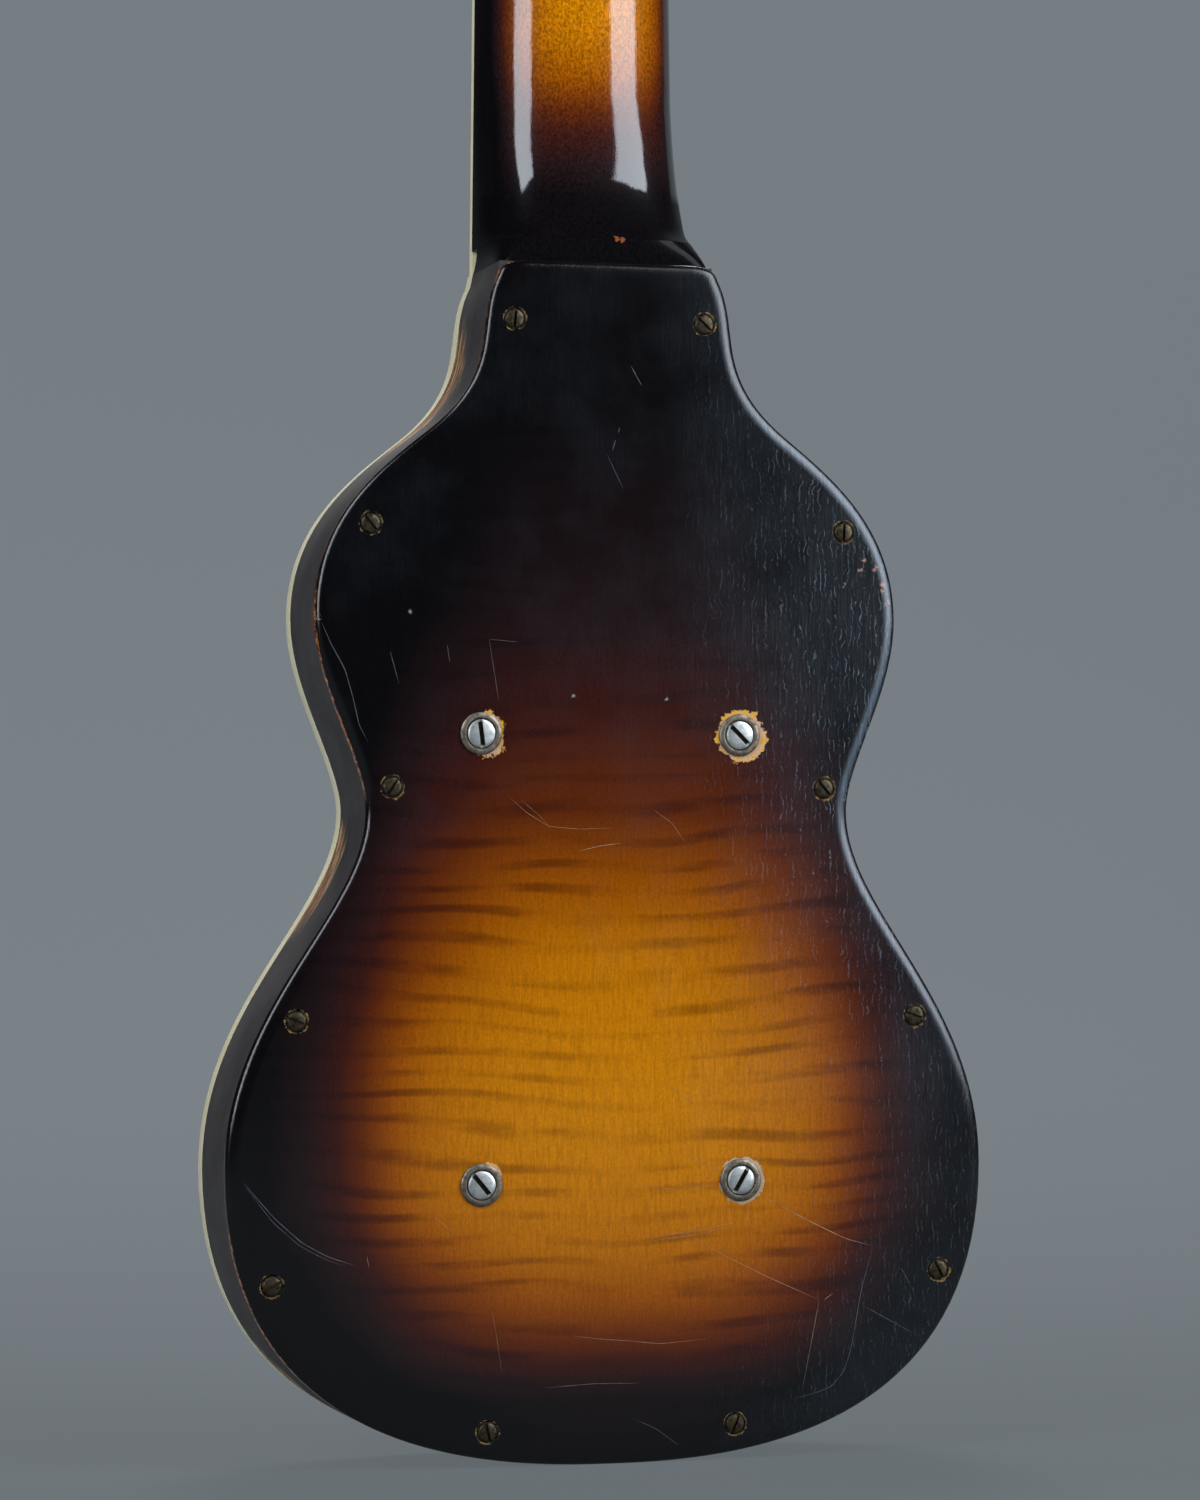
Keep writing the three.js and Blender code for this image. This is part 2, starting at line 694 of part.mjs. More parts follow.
function stringSlots(start, end, spacing, line = stringLine) {
  return strings.map(({ diameter, step }) => {
    const half = diameter / 2 + seatGap;
    return box(
      [step * spacing - half, step * spacing + half],
      [line - half, line + tailpieceWallMargin + cutOverrun],
      [start - cutOverrun, end + cutOverrun],
    );
  });
}

// A route through listed points, sampled at those points
class Route extends THREE.Curve {
  constructor(points) {
    super();
    this.points = points;
  }

  getUtoTmapping(u) {
    return u;
  }

  getPoint(t) {
    const at = THREE.MathUtils.clamp(t, 0, 1) * (this.points.length - 1);
    const i = Math.min(Math.floor(at), this.points.length - 2);
    return this.points[i].clone().lerp(this.points[i + 1], at - i);
  }
}

function windingPoints({ diameter, sign }, from, post) {
  const radius = postRadius + seatGap + diameter / 2;
  const toPost = new THREE.Vector2(post.x - from.x, post.z - from.z);
  const straight = Math.sqrt(toPost.lengthSq() - radius ** 2);
  const lean = sign * Math.asin(radius / toPost.length());
  const touch = toPost.clone().normalize().rotateAround(new THREE.Vector2(), lean).multiplyScalar(straight);
  const startTurn = Math.atan2(from.z + touch.y - post.z, from.x + touch.x - post.x);
  const top = headFace + postRise - postCapThickness - windingDrop;
  const pitch = diameter + windingGap;
  const steps = windingTurnCount * windingStepsPerTurn;
  return Array.from({ length: steps + 1 }, (_, i) => {
    const turn = startTurn - sign * 2 * Math.PI * windingTurnCount * i / steps;
    return new THREE.Vector3(
      post.x + radius * Math.cos(turn),
      top - pitch * windingTurnCount * i / steps,
      post.z + radius * Math.sin(turn),
    );
  });
}

function makeStrings() {
  const gaps = [];
  const ballMiddle = tailpieceHeight - seatGap - ballEndLength / 2;
  strings.forEach((string) => {
    const { number, diameter, step } = string;
    const atBridge = step * bridgeStringSpacing;
    const atNut = step * nutStringSpacing;
    const anchor = new THREE.Vector3(atBridge, anchorLevel, ballMiddle);
    const overBridge = new THREE.Vector3(atBridge, stringLine, bridgeHeight - seatGap);
    const pastNut = new THREE.Vector3(atNut, stringLine, nutHeight + nutThickness + seatGap);
    const winding = windingPoints(string, pastNut, tuners[number - 1]);
    const leave = winding.at(-1).clone().add(winding.at(-1).clone().sub(winding.at(-2)).setLength(diameter));
    const points = [anchor, overBridge, pastNut, ...winding, leave];
    const turnSteps = (winding.length - 1) / windingTurnCount;
    winding.forEach((p, i) => {
      winding.slice(i + turnSteps / 2).forEach((q) => gaps.push(p.distanceTo(q) - diameter));
    });
    const round = new THREE.Shape().absarc(0, 0, diameter / 2, 0, 2 * Math.PI);
    const wire = new THREE.ExtrudeGeometry(round, {
      steps: points.length - 1,
      curveSegments: 3,
      extrudePath: new Route(points),
      bevelEnabled: false,
    });
    const ball = new THREE.CylinderGeometry(ballEndRadius, ballEndRadius, ballEndLength, smallRound);
    ball.rotateX(quarterTurn).translate(anchor.x, anchor.y, anchor.z);
    place(`string_${number}`, worked(wire, { joined: [ball] }), stringSteel);
  });
  console.log('least gap of a winding to itself:', Math.min(...gaps).toFixed(2), 'mm');
}

// Bridge and tailpiece on the top board
function bridgeAndTailpiece() {
  const foot = boardBack + bridgeFootHeight;
  const crest = stringLine + crestMargin;
  const section = [
    [bridgeHeight - bridgeFootLength / 2, boardBack],
    [bridgeHeight + bridgeFootLength / 2, boardBack],
    [bridgeHeight + bridgeFootLength / 2, foot - bridgeFootHeight / 2],
    [bridgeHeight + saddleThickness, foot],
    [bridgeHeight + saddleThickness, crest],
    [bridgeHeight, crest],
    [bridgeHeight, foot],
    [bridgeHeight - bridgeFootLength / 2, foot - bridgeFootHeight / 2],
  ];
  const slots = stringSlots(bridgeHeight, bridgeHeight + saddleThickness, bridgeStringSpacing);
  const bridgeWidth = bridgeStringSpan + 2 * bridgeSideMargin;
  place('bridge', worked(bar(section, bridgeWidth), { cut: slots }), nickel);

  const wallTop = anchorLevel + tailpieceWallMargin;
  const tailSection = [
    [tailpieceHeight - tailpieceFootLength, boardBack],
    [tailpieceHeight + tailpieceSheet, boardBack],
    [tailpieceHeight + tailpieceSheet, wallTop],
    [tailpieceHeight, wallTop],
    [tailpieceHeight, sheetTop],
    [tailpieceHeight - tailpieceFootLength, sheetTop],
  ];
  const anchorSlots = stringSlots(
    tailpieceHeight,
    tailpieceHeight + tailpieceSheet,
    bridgeStringSpacing,
    anchorLevel,
  );
  const tailpieceWidth = bridgeStringSpan + 2 * tailpieceSideMargin;
  place('tailpiece', worked(bar(tailSection, tailpieceWidth), { cut: anchorSlots }), nickel);
}

// Single-blade pickup: cover, coil, blade and bar magnet
function pickup() {
  const magnetHalf = braceScrewOffset - railWidth / 2 - seatGap;
  const bladeHalfWidth = bladeThickness / 2;
  const coilTop = bodyDepth + coilRise;
  const coilBack = bodyDepth - coilDepthBelowTop;
  const bladeTop = stringLine - bladeStringGap;
  const bladeBack = coilBack - seatGap;
  const coverHalf = coilHalf + seatGap + pickupCoverWall;
  const coverHalfWidth = coilHalfWidth + seatGap + pickupCoverWall;
  const coverTop = coilTop + seatGap + pickupCoverRoof;
  const around = (half, halfWidth, back, front) => (
    box([-half, half], [back, front], [pickupHeight - halfWidth, pickupHeight + halfWidth])
  );
  const bladeSlot = (back, front) => around(bladeHalf + seatGap, bladeHalfWidth + seatGap, back, front);
  place('pickup_blade', around(bladeHalf, bladeHalfWidth, bladeBack, bladeTop), magnetSteel);
  place('pickup_coil', worked(around(coilHalf, coilHalfWidth, coilBack, coilTop), {
    cut: [bladeSlot(coilBack - cutOverrun, coilTop + cutOverrun)],
  }), blackPlastic);
  place('pickup_cover', worked(around(coverHalf, coverHalfWidth, boardBack, coverTop), {
    cut: [
      around(coilHalf + seatGap, coilHalfWidth + seatGap, boardBack - cutOverrun, coilTop + seatGap),
      bladeSlot(boardBack, coverTop + cutOverrun),
    ],
  }), blackPlastic);
  const magnetFront = bladeBack - seatGap;
  const magnet = around(magnetHalf, magnetWidth / 2, magnetFront - magnetThickness, magnetFront);
  place('pickup_magnet', magnet, magnetSteel);
}

// Inner brace: two rails and a cross bar glued under the top, which the four machine screws reach
function innerBrace() {
  const outerEdge = braceScrewOffset + railWidth / 2;
  const innerEdge = braceScrewOffset - railWidth / 2;
  const barHeight = pickupHeight + crossBarRise;
  const low = lowerBraceScrewHeight - railEndLength;
  const high = upperBraceScrewHeight + railEndLength;
  const rails = [[-outerEdge, -innerEdge], [innerEdge, outerEdge]].map((across) => (
    box(across, [rimBack, rimFront], [low, high])
  ));
  const crossBar = box(
    [-innerEdge - cutOverrun, innerEdge + cutOverrun],
    [rimBack, rimFront],
    [barHeight - crossBarWidth / 2, barHeight + crossBarWidth / 2],
  );
  const bores = braceScrewPlaces.map(({ x, z }) => (
    rod(braceScrewRadius + seatGap, rimBack - cutOverrun, braceScrewLength + 2 * seatGap, x, z)
  ));
  place('inner_brace', worked(crossBar, { joined: rails, cut: bores }), plainMaple);
}

// Slotted screws, driven from the back
function slotted(profile, faces, { top, depth, width }, { x, z, turn }) {
  const reach = 2 * Math.max(...profile.map(([r]) => r)) + cutOverrun;
  const slot = new THREE.BoxGeometry(reach, depth + cutOverrun, width);
  slot.translate(0, top + (depth - cutOverrun) / 2, 0).rotateY(-THREE.MathUtils.degToRad(turn));
  return worked(turned(profile, faces), { cut: [slot] }).translate(x, 0, z);
}

function backScrews() {
  const woodProfile = [
    [0, -woodScrewDome],
    [woodScrewHeadRadius * domeRunShare, -woodScrewDome * domeRiseShare],
    [woodScrewHeadRadius, 0],
    [woodScrewRadius, woodScrewHeadDepth],
    [woodScrewRadius, woodScrewLength - woodScrewTip],
    [0, woodScrewLength],
  ];
  const woodSlot = { top: -woodScrewDome, depth: woodScrewSlotDepth, width: woodScrewSlotWidth };
  woodScrews.forEach((screw) => {
    place(`back_screw_${screw.name}`, slotted(woodProfile, smallRound, woodSlot, screw), agedSteel);
  });
  const headBottom = ferruleSeatDepth - seatGap;
  const headTop = headBottom - braceScrewHeadThickness;
  const braceProfile = [
    [0, headTop - braceScrewDome],
    [braceScrewHeadRadius * domeRunShare, headTop - braceScrewDome * domeRiseShare],
    [braceScrewHeadRadius, headTop],
    [braceScrewHeadRadius, headBottom],
    [braceScrewRadius, headBottom],
    [braceScrewRadius, braceScrewLength],
    [0, braceScrewLength],
  ];
  const flangeBack = -seatGap - ferruleFlangeThickness;
  const flangeRadius = ferruleBarrelRadius + ferruleLip;
  const cupRadius = braceScrewHeadRadius + seatGap;
  const boreRadius = braceScrewRadius + seatGap;
  const ferruleEnd = backPlateThickness;
  const ferruleProfile = [
    [cupRadius, flangeBack],
    [flangeRadius, flangeBack],
    [flangeRadius, -seatGap],
    [ferruleBarrelRadius, -seatGap],
    [ferruleBarrelRadius, ferruleEnd],
    [boreRadius, ferruleEnd],
    [boreRadius, ferruleSeatDepth],
    [cupRadius, ferruleSeatDepth],
    [cupRadius, flangeBack],
  ];
  const braceSlot = {
    top: headTop - braceScrewDome,
    depth: braceScrewSlotDepth,
    width: braceScrewSlotWidth,
  };
  braceScrewPlaces.forEach((screw) => {
    const ferrule = turned(ferruleProfile, runningRound).translate(screw.x, 0, screw.z);
    place(`brace_screw_${screw.name}`, slotted(braceProfile, runningRound, braceSlot, screw), nickel);
    place(`screw_ferrule_${screw.name}`, ferrule, agedSteel);
  });
}

// Volume and tone: a potentiometer under the top and a knob on its shaft
function controlsAndJack() {
  const potFront = rimFront;
  const potBack = potFront - potDepth;
  const boreRadius = knobShaftRadius + seatGap;
  const bushingTop = bodyDepth + bushingRise;
  const shaftEnd = potBack + knobSkirtWall + seatGap;
  const knobBase = bodyDepth + knobLift;
  const knobTop = knobBase + knobHeight;
  const roof = bushingTop + seatGap;
  const potProfile = [
    [0, potBack],
    [potRadius, potBack],
    [potRadius, potFront],
    [bushingRadius, potFront],
    [bushingRadius, bushingTop],
    [boreRadius, bushingTop],
    [boreRadius, shaftEnd - seatGap],
    [0, shaftEnd - seatGap],
  ];
  const knobProfile = [
    [0, shaftEnd],
    [knobShaftRadius, shaftEnd],
    [knobShaftRadius, roof],
    [bushingRadius + 2 * seatGap, roof],
    [knobRadius - knobSkirtWall, knobBase],
    [knobRadius, knobBase],
    [knobRadius, knobBase + knobSkirtWall],
    [knobCrownRadius, knobTop],
    [0, knobTop],
  ];
  controls.forEach(({ name, x, z }) => {
    place(`${name}_pot`, turned(potProfile, runningRound).translate(x, 0, z), nickel);
    const pointer = box(
      [-knobPointerWidth / 2, knobPointerWidth / 2],
      [knobTop - knobPointerWidth, knobTop + knobPointerWidth / 2],
      [0, knobCrownRadius],
    );
    const knob = worked(turned(knobProfile, wideRound), { joined: [pointer] }).translate(x, 0, z);
    place(`${name}_knob`, knob, blackPlastic);
  });

  const flangeBack = lowerHalf - jackRecessDepth + seatGap;
  const housingFront = lowerHalf - rimWall - jackHousingSetback;
  const housingBack = housingFront - jackHousingLength;
  const jackProfile = [
    [0, housingBack],
    [jackHousingRadius, housingBack],
    [jackHousingRadius, housingFront],
    [jackBarrelRadius, housingFront],
    [jackBarrelRadius, flangeBack],
    [jackFlangeRadius, flangeBack],
    [jackFlangeRadius, flangeBack + jackFlangeThickness],
    [jackBoreRadius, flangeBack + jackFlangeThickness],
    [jackBoreRadius, housingBack + jackEndWall],
    [0, housingBack + jackEndWall],
  ];
  const jack = alongX(turned(jackProfile, wideRound));
  place('output_jack', jack.translate(0, jackLevel, lowerBoutHeight), nickel);
}

// Tuning machines: a gear on each post, driven by the worm on its button's shaft
const plateFront = headBack - seatGap;
const plateBack = plateFront - tunerPlateThickness;
const gearTipRadius = gearPitchRadius + toothAddendum;
const gearRootRadius = gearTipRadius - toothHeight;
const wormTipRadius = wormRootRadius + toothHeight;
const wormLevel = plateBack - wormTipGap - wormTipRadius;
const gearFront = wormLevel + gearWidth / 2;
const gearBack = gearFront - gearWidth;
const wormOffset = gearTipRadius + wormRootRadius + wormTipGap;
const wormLead = 2 * Math.PI * gearPitchRadius / gearTeeth;
const wormTipThread = wormLead * wormTipThreadShare;
const wormRootThread = wormLead * wormRootThreadShare;
const wormHalf = wormLead * wormTurnCount / 2 + wormRootThread / 2;
const earInner = wormHalf + wormEndGap;

function gearShape() {
  const halfPitch = Math.PI / gearTeeth;
  const rootLean = wormLead * gearRootToothShare / 2 / gearRootRadius;
  const tipLean = wormLead * gearTipToothShare / 2 / gearTipRadius;
  const points = Array.from({ length: gearTeeth }, (_, i) => {
    const middle = quarterTurn + (2 * i + 1) * halfPitch;
    const corner = (r, lean) => new THREE.Vector2(r * Math.cos(middle + lean), r * Math.sin(middle + lean));
    return [
      corner(gearRootRadius, -rootLean),
      corner(gearTipRadius, -tipLean),
      corner(gearTipRadius, tipLean),
      corner(gearRootRadius, rootLean),
    ];
  });
  return new THREE.Shape(points.flat());
}

// The worm's thread: a ridge wound right-handed about X, whose crest passes the gear at the middle
function threadRidge() {
  const steps = Math.round(wormTurnCount * smallRound);
  const inner = wormRootRadius * Math.cos(Math.PI / smallRound) - seatGap;
  const rings = Array.from({ length: steps + 1 }, (_, i) => {
    const turns = (i / steps - 0.5) * wormTurnCount;
    const x = wormLead * turns;
    const turn = 2 * Math.PI * turns;
    const corner = (along, r) => new THREE.Vector3(x + along, r * Math.sin(turn), -r * Math.cos(turn));
    return [
      corner(-wormRootThread / 2, inner),
      corner(-wormTipThread / 2, wormTipRadius),
      corner(wormTipThread / 2, wormTipRadius),
      corner(wormRootThread / 2, inner),
    ];
  });
  const flat = (p) => new THREE.Vector2(p.x, Math.hypot(p.y, p.z));
  return skin(rings, flat);
}

function tuningMachines() {
  const innerEnd = earInner + earThickness + seatGap;
  const shaftOuter = postInset + buttonClearance + buttonLength / 2;
  tuners.forEach(({ number, sign, x, z }) => {
    const postTop = headFace + postRise;
    const postProfile = [
      [0, gearBack],
      [postRadius, gearBack],
      [postRadius, postTop - postCapThickness],
      [postCapRadius, postTop - postCapThickness],
      [postCapRadius, postTop],
      [0, postTop],
    ];
    const gear = slab(gearShape(), gearBack, gearFront);
    const post = worked(turned(postProfile, runningRound), { joined: [gear] }).translate(x, 0, z);
    place(`tuner_post_${number}`, post, nickel);

    const ends = [-sign * innerEnd, sign * shaftOuter].sort((a, b) => a - b);
    const run = ends[1] - ends[0];
    const shaft = alongX(new THREE.CylinderGeometry(wormRootRadius, wormRootRadius, run, smallRound));
    shaft.translate((ends[0] + ends[1]) / 2, 0, 0);
    const button = new THREE.SphereGeometry(1, smallRound, smallRound / 2 + 1);
    button.scale(buttonLength / 2, buttonThickness / 2, buttonWidth / 2).translate(sign * shaftOuter, 0, 0);
    const machine = worked(shaft, { joined: [threadRidge(), button] });
    place(`tuner_button_${number}`, machine.translate(x, wormLevel, z + wormOffset), ivoryPlastic);
  });

  sides.forEach(({ name, sign }) => {
    const own = tuners.filter((tuner) => tuner.sign === sign);
    const low = Math.min(...own.map(({ z }) => z)) - tunerPlateEnd;
    const high = Math.max(...own.map(({ z }) => z)) + wormOffset + tunerPlateEnd;
    const across = [sign * postOffset - tunerPlateWidth / 2, sign * postOffset + tunerPlateWidth / 2];
    const sheet = box(across, [plateBack, plateFront], [low, high]);
    const earBack = wormLevel - wormRootRadius - seatGap - earTopWall;
    const ears = own.flatMap(({ x, z }) => [-1, 1].map((end) => box(
      [x + end * earInner, x + end * (earInner + earThickness)].sort((a, b) => a - b),
      [earBack, plateBack + tunerPlateThickness / 2],
      [z + wormOffset - earWidth / 2, z + wormOffset + earWidth / 2],
    )));
    const bearings = own.map(({ x, z }) => {
      const run = 2 * (earInner + earThickness + cutOverrun);
      const radius = wormRootRadius + seatGap;
      const hole = new THREE.CylinderGeometry(radius, radius, run, smallRound);
      return alongX(hole).translate(x, wormLevel, z + wormOffset);
    });
    const postHoles = own.map(({ x, z }) => (
      rod(postRadius + seatGap, plateBack - cutOverrun, plateFront + cutOverrun, x, z, runningRound)
    ));
    place(`tuner_plate_${name}`, worked(sheet, { joined: ears, cut: [...bearings, ...postHoles] }), nickel);
  });
}

rim();
topBoard();
backPlate();
innerBrace();
neck();
fingerboard();
makeStrings();
bridgeAndTailpiece();
pickup();
backScrews();
controlsAndJack();
tuningMachines();

// The frame's origin is on the floor under the middle of the whole guitar
const extent = new THREE.Box3().setFromObject(guitar);
guitar.position.set(0, -(extent.min.y + extent.max.y) / 2, -extent.min.z);

export default guitar;
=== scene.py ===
from functools import partial
import math

import bmesh
import bpy
import numpy as np
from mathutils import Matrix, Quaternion, Vector


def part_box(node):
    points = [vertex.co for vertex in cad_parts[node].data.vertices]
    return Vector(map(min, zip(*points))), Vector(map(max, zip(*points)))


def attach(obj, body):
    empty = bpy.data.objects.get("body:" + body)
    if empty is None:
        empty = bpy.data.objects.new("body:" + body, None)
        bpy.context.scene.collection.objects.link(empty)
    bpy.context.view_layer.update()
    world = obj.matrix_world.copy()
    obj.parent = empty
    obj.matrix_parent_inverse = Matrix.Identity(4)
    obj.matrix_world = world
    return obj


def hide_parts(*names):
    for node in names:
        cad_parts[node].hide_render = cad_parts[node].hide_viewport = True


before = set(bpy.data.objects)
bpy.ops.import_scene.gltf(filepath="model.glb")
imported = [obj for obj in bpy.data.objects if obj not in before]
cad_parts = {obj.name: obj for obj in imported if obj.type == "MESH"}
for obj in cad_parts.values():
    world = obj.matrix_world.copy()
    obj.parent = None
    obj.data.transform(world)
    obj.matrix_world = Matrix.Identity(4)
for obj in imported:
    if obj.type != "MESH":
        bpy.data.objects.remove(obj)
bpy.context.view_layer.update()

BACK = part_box("back_plate")[0].y
TAU = 2 * math.pi


# Shapes: each is its points, its four-sided faces and its end caps

def bezier(corners):
    """Points of a cubic curve: the four corners weighted by (1-t)^3, 3(1-t)^2 t, 3(1-t) t^2 and t^3."""
    t = np.linspace(0, 1, 41)[:, None]
    p = np.array(corners, float)
    return (1 - t) ** 3 * p[0] + 3 * (1 - t) ** 2 * t * p[1] + 3 * (1 - t) * t * t * p[2] + t ** 3 * p[3]


LOWER, WAIST, UPPER = (120.85, 91), (77, 201.1), (93.1, 261.4)
SHOULDER, NECK_CORNER, BODY_END = (57.2, 318.3), (35.2, 367), 371.4
SLOPE = math.radians(38.4)
HIP_RISE, RIB_RISE = WAIST[1] - LOWER[1], UPPER[1] - WAIST[1]
UPPER_PULL = 0.522 * (SHOULDER[1] - UPPER[1])
STRETCHES = [
    [(0, 0), (0.24 * LOWER[0], 0), (LOWER[0], 0), LOWER],
    [LOWER, (LOWER[0], LOWER[1] + 0.467 * HIP_RISE), (WAIST[0], WAIST[1] - 0.285 * HIP_RISE), WAIST],
    [WAIST, (WAIST[0], WAIST[1] + 0.253 * RIB_RISE), (UPPER[0], UPPER[1] - 0.378 * RIB_RISE), UPPER],
    [UPPER, (UPPER[0], UPPER[1] + UPPER_PULL),
     (SHOULDER[0] + 19.3 * math.cos(SLOPE), SHOULDER[1] - 19.3 * math.sin(SLOPE)), SHOULDER],
    [SHOULDER, (SHOULDER[0] - 30.3 * math.cos(SLOPE), SHOULDER[1] + 30.3 * math.sin(SLOPE)),
     (NECK_CORNER[0] + 7.9, NECK_CORNER[1] - 15.4), NECK_CORNER],
]


def body_outline(corner_run=0):
    """The body's outline as x, z, counter-clockwise seen from the back: five cubic curves from the tail to the
    neck corner, then the corner itself as a quadratic curve, and the same mirrored in x."""
    right = np.vstack([bezier(s)[min(i, 1):] for i, s in enumerate(STRETCHES)])
    tip = np.array([NECK_CORNER[0] - 1, BODY_END])
    if corner_run:
        t = np.linspace(0, 1, 11)[1:, None]
        end = tip - (corner_run, 0)
        corner = (1 - t) ** 2 * right[-1] + 2 * (1 - t) * t * tip + t * t * end
    else:
        corner = tip[None]
    right = np.vstack([right, corner])
    return np.vstack([right, right[:0:-1] * (-1, 1)])


def rounded_rectangle(half_x, half_z, radius, steps, middle=(0, 0)):
    """A rectangle with four quarter circles of the radius at its corners, counter-clockwise seen from the back."""
    a = np.linspace(0, math.pi / 2, steps + 1) + np.arange(4)[:, None] * math.pi / 2
    side = np.array([(1, 1), (-1, 1), (-1, -1), (1, -1)])[:, None, :]
    arcs = side * (half_x - radius, half_z - radius) + radius * np.stack([np.cos(a), np.sin(a)], -1)
    return arcs.reshape(-1, 2) + middle


def moved(line, inset):
    """A closed line moved inwards: each corner along the sum of its two sides' left-hand normals, so that both
    sides move by the inset."""
    before = line - np.roll(line, 1, 0)
    after = np.roll(line, -1, 0) - line
    before /= np.linalg.norm(before, axis=1, keepdims=True)
    after /= np.linalg.norm(after, axis=1, keepdims=True)
    inward = np.stack([-before[:, 1] - after[:, 1], before[:, 0] + after[:, 0]], 1)
    return line + inward * inset / (1 + (before * after).sum(1, keepdims=True))


def loft(rings, hoop=False):
    """A closed skin over equal rings of points: quads between neighbours, and a cap on each end unless the
    last ring joins the first."""
    rings = np.asarray(rings, float)
    rows, count = rings.shape[:2]
    last = rows if hoop else rows - 1
    near = (np.arange(last) * count)[:, None]
    far = ((np.arange(last) + 1) % rows * count)[:, None]
    here = np.arange(count)[None]
    there = (here + 1) % count
    quads = np.stack([near + here, near + there, far + there, far + here], -1).reshape(-1, 4)
    caps = [] if hoop else [np.arange(count)[::-1], np.arange(count) + (rows - 1) * count]
    return rings.reshape(-1, 3), quads, caps


def joined(*shells):
    """Several closed skins as one: their points stacked and their faces' numbers raised."""
    starts = np.cumsum([0] + [len(points) for points, quads, caps in shells])
    points = np.vstack([shell[0] for shell in shells])
    quads = np.vstack([shell[1] + start for shell, start in zip(shells, starts)])
    return points, quads, [cap + start for shell, start in zip(shells, starts) for cap in shell[2]]


def stack(line, levels, hoop=False):
    """An outline carried through levels of (inset, y)."""
    return loft([np.insert(moved(line, inset), 1, y, 1) for inset, y in levels], hoop)


def band(outer, levels, inner, ends):
    """A closed band: its outer line carried through levels of (inset, y), and its inner line back through ends."""
    return loft([np.insert(moved(outer, inset), 1, y, 1) for inset, y in levels]
                + [np.insert(inner, 1, y, 1) for y in ends], hoop=True)


def turned(profile, count=48, middle=(0, 0), flutes=0, flute_depth=0, hoop=False):
    """A profile of (radius, y) carried round +Y: x = r sin a, z = r cos a. Flutes pull r in by
    depth (1 - cos(flutes a)) / 2 where the profile has a third value of 1."""
    rows = np.array([(*p, 0)[:3] for p in profile], float)
    a = np.arange(count) * TAU / count
    r = rows[:, :1] - rows[:, 2:] * flute_depth * (1 - np.cos(flutes * a)) / 2
    y = np.repeat(rows[:, 1:2], count, 1)
    return loft(np.stack([r * np.sin(a) + middle[0], y, r * np.cos(a) + middle[1]], -1), hoop)


def rod(radius, low, high, count=32, middle=(0, 0)):
    """A plain cylinder along +Y."""
    return turned([(0, low), (radius, low), (radius, high), (0, high)], count, middle)


def block(half_x, half_z, radius, steps, middle, low, high):
    """A plain rounded rectangle carried along +Y."""
    return stack(rounded_rectangle(half_x, half_z, radius, steps, middle), [(0, low), (0, high)])


def along_x(shell, x=0, y=0, z=0):
    """A shape turned about +Y laid along +X, then moved."""
    p = shell[0]
    return np.stack([p[:, 1] + x, y - p[:, 0], p[:, 2] + z], 1), *shell[1:]


def drop(shell, x=0, y=0, z=0, turn=0):
    """A shape turned about +Y by an angle seen from the back, then moved."""
    p = shell[0]
    c, s = math.cos(turn), math.sin(turn)
    return np.stack([p[:, 0] * c - p[:, 2] * s + x, p[:, 1] + y, p[:, 0] * s + p[:, 2] * c + z], 1), *shell[1:]


def signed_power(values, power):
    """Each value's size raised to the power, with its sign kept."""
    return np.sign(values) * np.abs(values) ** power


def tube(path, radius):
    """A round tube: at each point a circle in the plane of two vectors square to the path, the first of them
    the cross product of the path's direction and +Y, which no string runs along."""
    path = np.asarray(path, float)
    along = np.gradient(path, axis=0)
    along /= np.linalg.norm(along, axis=1, keepdims=True)
    side = np.cross(along, (0, 1, 0))
    side /= np.linalg.norm(side, axis=1, keepdims=True)
    other = np.cross(along, side)
    a = (np.arange(12) * TAU / 12)[None, :, None]
    return loft(path[:, None] + radius * (np.cos(a) * side[:, None] + np.sin(a) * other[:, None]))


def mesh_of(name, shell):
    """A mesh in metres: doubles merged, faces turned outwards, smooth except at corners and on flat ends."""
    points, quads, caps = shell
    mesh = bpy.data.meshes.new(name)
    faces = quads.tolist() + [cap.tolist() for cap in caps]
    mesh.from_pydata((points * 0.001 + (0, BACK, 0)).tolist(), [], faces)
    work = bmesh.new()
    work.from_mesh(mesh)
    bmesh.ops.remove_doubles(work, verts=work.verts, dist=1e-7)
    bmesh.ops.dissolve_degenerate(work, edges=work.edges, dist=1e-8)
    bmesh.ops.recalc_face_normals(work, faces=work.faces)
    work.to_mesh(mesh)
    work.free()
    shade(mesh)
    return mesh


def shade(mesh):
    """Smooth shading that breaks at corners over 32 degrees, with faces that lie square to an axis left flat."""
    mesh.shade_smooth()
    mesh.set_sharp_from_angle(angle=math.radians(32))
    normals = np.empty(len(mesh.polygons) * 3, np.float32)
    mesh.polygons.foreach_get("normal", normals)
    square = np.abs(normals.reshape(-1, 3)).max(1) > 0.999999
    mesh.polygons.foreach_set("use_smooth", ~square)
    mesh.update()


def new_object(name, data):
    """A new object in the scene with this mesh, light or camera."""
    made = bpy.data.objects.new(name, data)
    bpy.context.scene.collection.objects.link(made)
    return made


